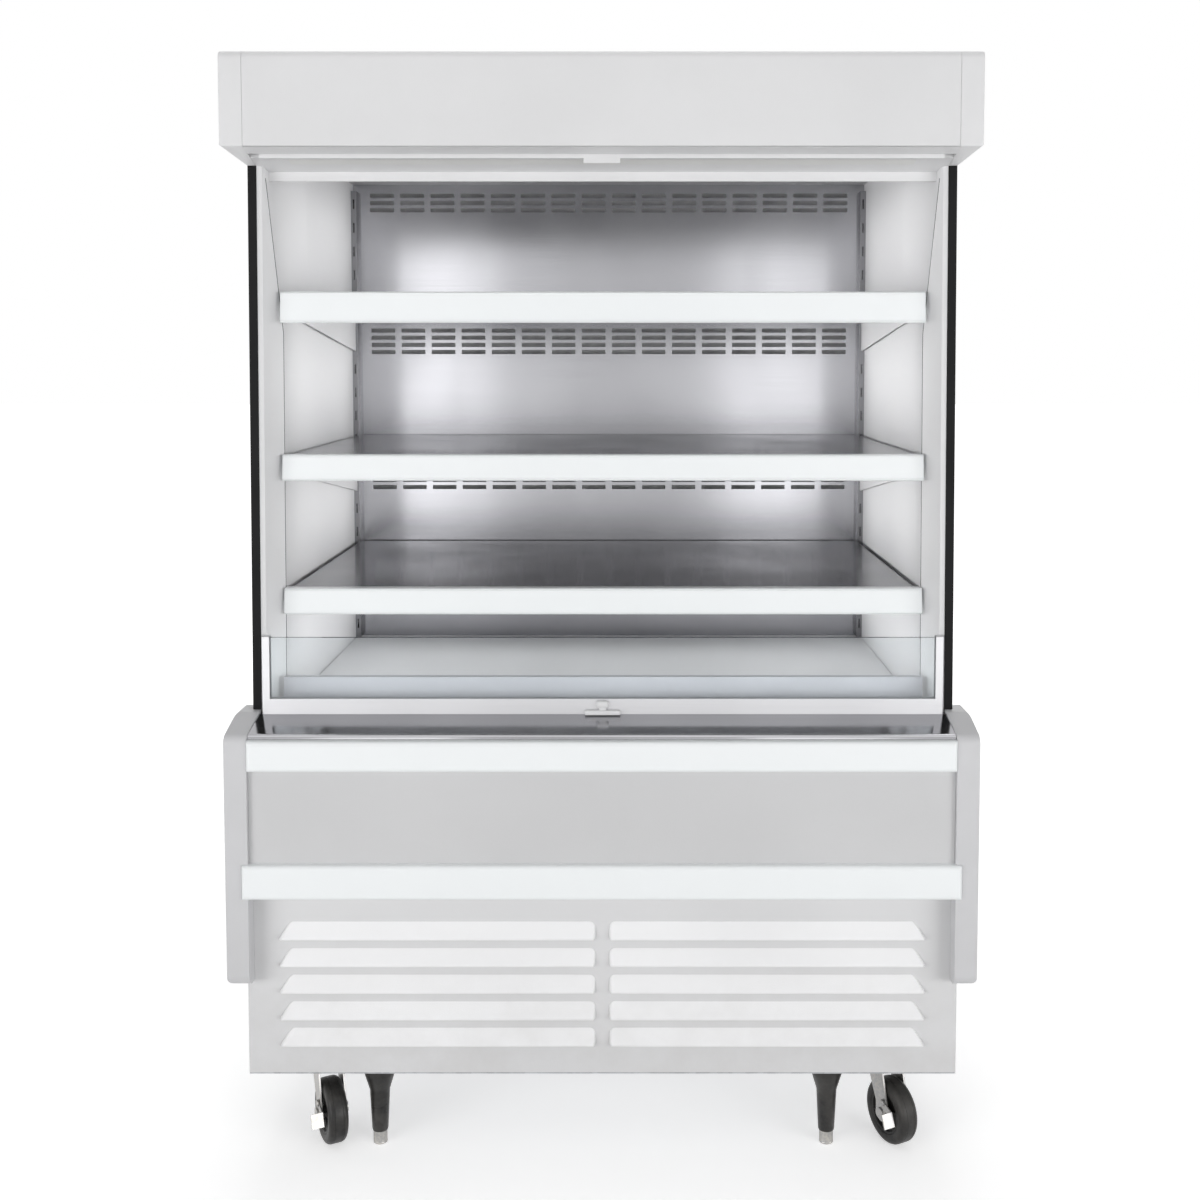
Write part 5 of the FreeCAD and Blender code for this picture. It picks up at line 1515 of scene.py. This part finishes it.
# ---- studio ----
@dataclass(frozen=True)
class SoftBox:
    """A large soft lamp, aimed at a point."""

    name: str
    place: Point
    aim: Point
    size: tuple[float, float]
    power: float
    spread: float = 180.0
    diffuse: bool = True
    glossy: bool = True

    def hang(self) -> None:
        """Puts the lamp in the scene."""
        light = bpy.data.lights.new(self.name, "AREA")
        light.shape, light.size, light.size_y, light.energy = "RECTANGLE", *self.size, self.power
        light.spread = math.radians(self.spread)
        lamp = bpy.data.objects.new(self.name, light)
        lamp.location = self.place
        lamp.rotation_euler = (Vector(self.aim) - Vector(self.place)).to_track_quat("-Z", "Y").to_euler()
        lamp.visible_camera = False
        lamp.visible_diffuse = self.diffuse
        lamp.visible_glossy = self.glossy
        bpy.context.scene.collection.objects.link(lamp)


LAMPS: tuple[SoftBox, ...] = (
    SoftBox("overhead_softbox", (0.0, -2.4, 4.0), (0.0, 0.0, 0.8), (3.6, 2.2), 14.0),
    SoftBox("roof_softbox", (0.0, 0.9, 4.6), (0.0, 0.5, 0.0), (3.0, 2.0), 34.0),
    SoftBox("rear_softbox", (0.0, 4.6, 2.0), (0.0, 0.4, 0.9), (3.2, 2.2), 80.0),
    SoftBox("left_softbox", (-3.5, -3.7, 1.1), (0.0, 0.0, 1.0), (3.0, 1.5), 84.0),
    SoftBox("right_softbox", (3.5, -3.7, 1.1), (0.0, 0.0, 1.0), (3.0, 1.5), 84.0),
    SoftBox("left_strip", (-1.05, -4.5, 1.4), (0.0, 0.0, 1.1), (0.6, 2.6), 5.6, diffuse=False),
    SoftBox("right_strip", (0.9, -4.5, 1.4), (0.0, 0.0, 1.1), (0.6, 2.6), 5.0, diffuse=False),
    SoftBox("left_fill", (0.0, 0.03, 1.22), (-1.0, 0.03, 1.22), (0.6, 0.88), 1.35, 40.0, glossy=False),
    SoftBox("right_fill", (0.0, 0.03, 1.22), (1.0, 0.03, 1.22), (0.6, 0.88), 1.45, 40.0, glossy=False),
    SoftBox("deck_fill", (0.0, -0.02, 0.925), (0.0, -0.02, 0.0), (1.0, 0.5), 0.8, 100.0, glossy=False),
)


@dataclass
class Studio:
    """Plain pale floor, soft light and the camera at the photograph's angle."""

    eye: Point = (0.046, -2.695, 1.341)
    tilt: float = 86.5
    lens: float = 42.33
    shift: tuple[float, float] = (-0.025, -0.128)
    ambient: float = 0.25
    floor_reach: float = 40.0
    floor_glow: float = 0.5
    floor_fade: Pair = (1.5, 7.0)
    paper: tuple[Colour, Colour] = (tone(240), tone(244))

    def build(self) -> None:
        """Sets up the camera, the lamps, the floor and the surrounding light."""
        self._camera()
        for box in LAMPS:
            box.hang()
        self._surround()
        self._floor()

    def _camera(self) -> None:
        """Creates the camera."""
        data = bpy.data.cameras.new("studio_camera")
        data.lens, data.sensor_width, data.sensor_fit = self.lens, 36.0, "HORIZONTAL"
        data.shift_x, data.shift_y = self.shift
        data.clip_end = 60.0
        camera = bpy.data.objects.new("studio_camera", data)
        camera.location = self.eye
        camera.rotation_euler = (math.radians(self.tilt), 0.0, 0.0)
        bpy.context.scene.collection.objects.link(camera)
        bpy.context.scene.camera = camera

    @staticmethod
    def _seen(graph: Graph) -> NodeSocket:
        """Gives 1 for rays that see the backdrop straight, in a reflection or through glass.

        Args:
            graph: tree to add to.

        Returns:
            The mask.
        """
        rays = graph.add("ShaderNodeLightPath").outputs
        straight = graph.sum("ADD", rays["Is Camera Ray"], rays["Is Glossy Ray"], clamp=True)
        return graph.sum("ADD", straight, rays["Is Transmission Ray"], clamp=True)

    def _surround(self) -> None:
        """Makes the background white to look at, and softer as a light."""
        world = bpy.data.worlds.new("studio_surround")
        bpy.context.scene.world = world
        world.use_nodes = True
        graph = Graph(world.node_tree)
        strength = graph.spread(self._seen(graph), 0.0, 1.0, self.ambient, 1.0)
        graph.fill(graph.tree.nodes["Background"], {"Color": (1.0, 1.0, 1.0, 1.0), "Strength": strength})

    def _floor(self) -> None:
        """Lays the floor, which reads white away from the fridge and keeps its shadow."""
        mesh = bmesh.new()
        bmesh.ops.create_grid(mesh, x_segments=1, y_segments=1, size=self.floor_reach)
        floor = keep("studio_floor", mesh)
        material = bpy.data.materials.new("studio_paper")
        material.use_nodes = True
        graph = Graph(material.node_tree)
        place = graph.add("ShaderNodeTexCoord").outputs["Object"]
        pulp = graph.noise(place, 30.0, 3.0)
        away = graph.add("ShaderNodeVectorMath", {0: place}, operation="LENGTH").outputs["Value"]
        glow = graph.spread(away, *self.floor_fade, self.floor_glow, 1.0, smooth=True)
        graph.fill(graph.tree.nodes["Principled BSDF"], {
            "Base Color": graph.mix(pulp, *self.paper), "Roughness": 0.9, "Specular IOR Level": 0.1,
            "Emission Color": (1.0, 1.0, 1.0, 1.0),
            "Emission Strength": graph.times(self._seen(graph), glow)})
        floor.data.materials.append(material)


# ---- making ----
def main() -> None:
    """Dresses the frame, builds the formed pieces and sets the studio."""
    logging.basicConfig(level=logging.INFO, format="%(message)s")
    bpy.context.scene.view_settings.view_transform = "Standard"
    Studio().build()
    log.info("studio: camera, soft lamps, floor")
    wardrobe = Wardrobe(Effects())
    for part in frame["record"]["subparts"]:
        wardrobe.node(part["node"], Slot(part["material_slot"]))
    # The deck pan takes a lighter copy of the white enamel: painted light against the shelves' shade.
    wardrobe.node("deck_pan", Slot.WHITE_PANEL, "deck_painted_light_enamel")
    wardrobe.node("return_grille", Slot.GREY_PANEL, "grille_enamel")
    # The back panel takes a lighter copy of the stainless: painted light against the cabinet's shade.
    wardrobe.node("back_panel", Slot.STAINLESS, "duct_stainless_painted_light")
    wardrobe.node("sill", Slot.STAINLESS, "sill_stainless")
    former = Former()
    for piece in (LouvrePanel(), CasterWheels(), AirHoneycomb(), CoilFins("condenser_coil", 0.4, 26, 5),
                  CoilFins("evaporator_coil", 0.86, 30, 4), Fasteners(), PriceRails(), SmallParts(),
                  NightCurtain()):
        piece.build(wardrobe, former)


if __name__ == "__main__":
    main()
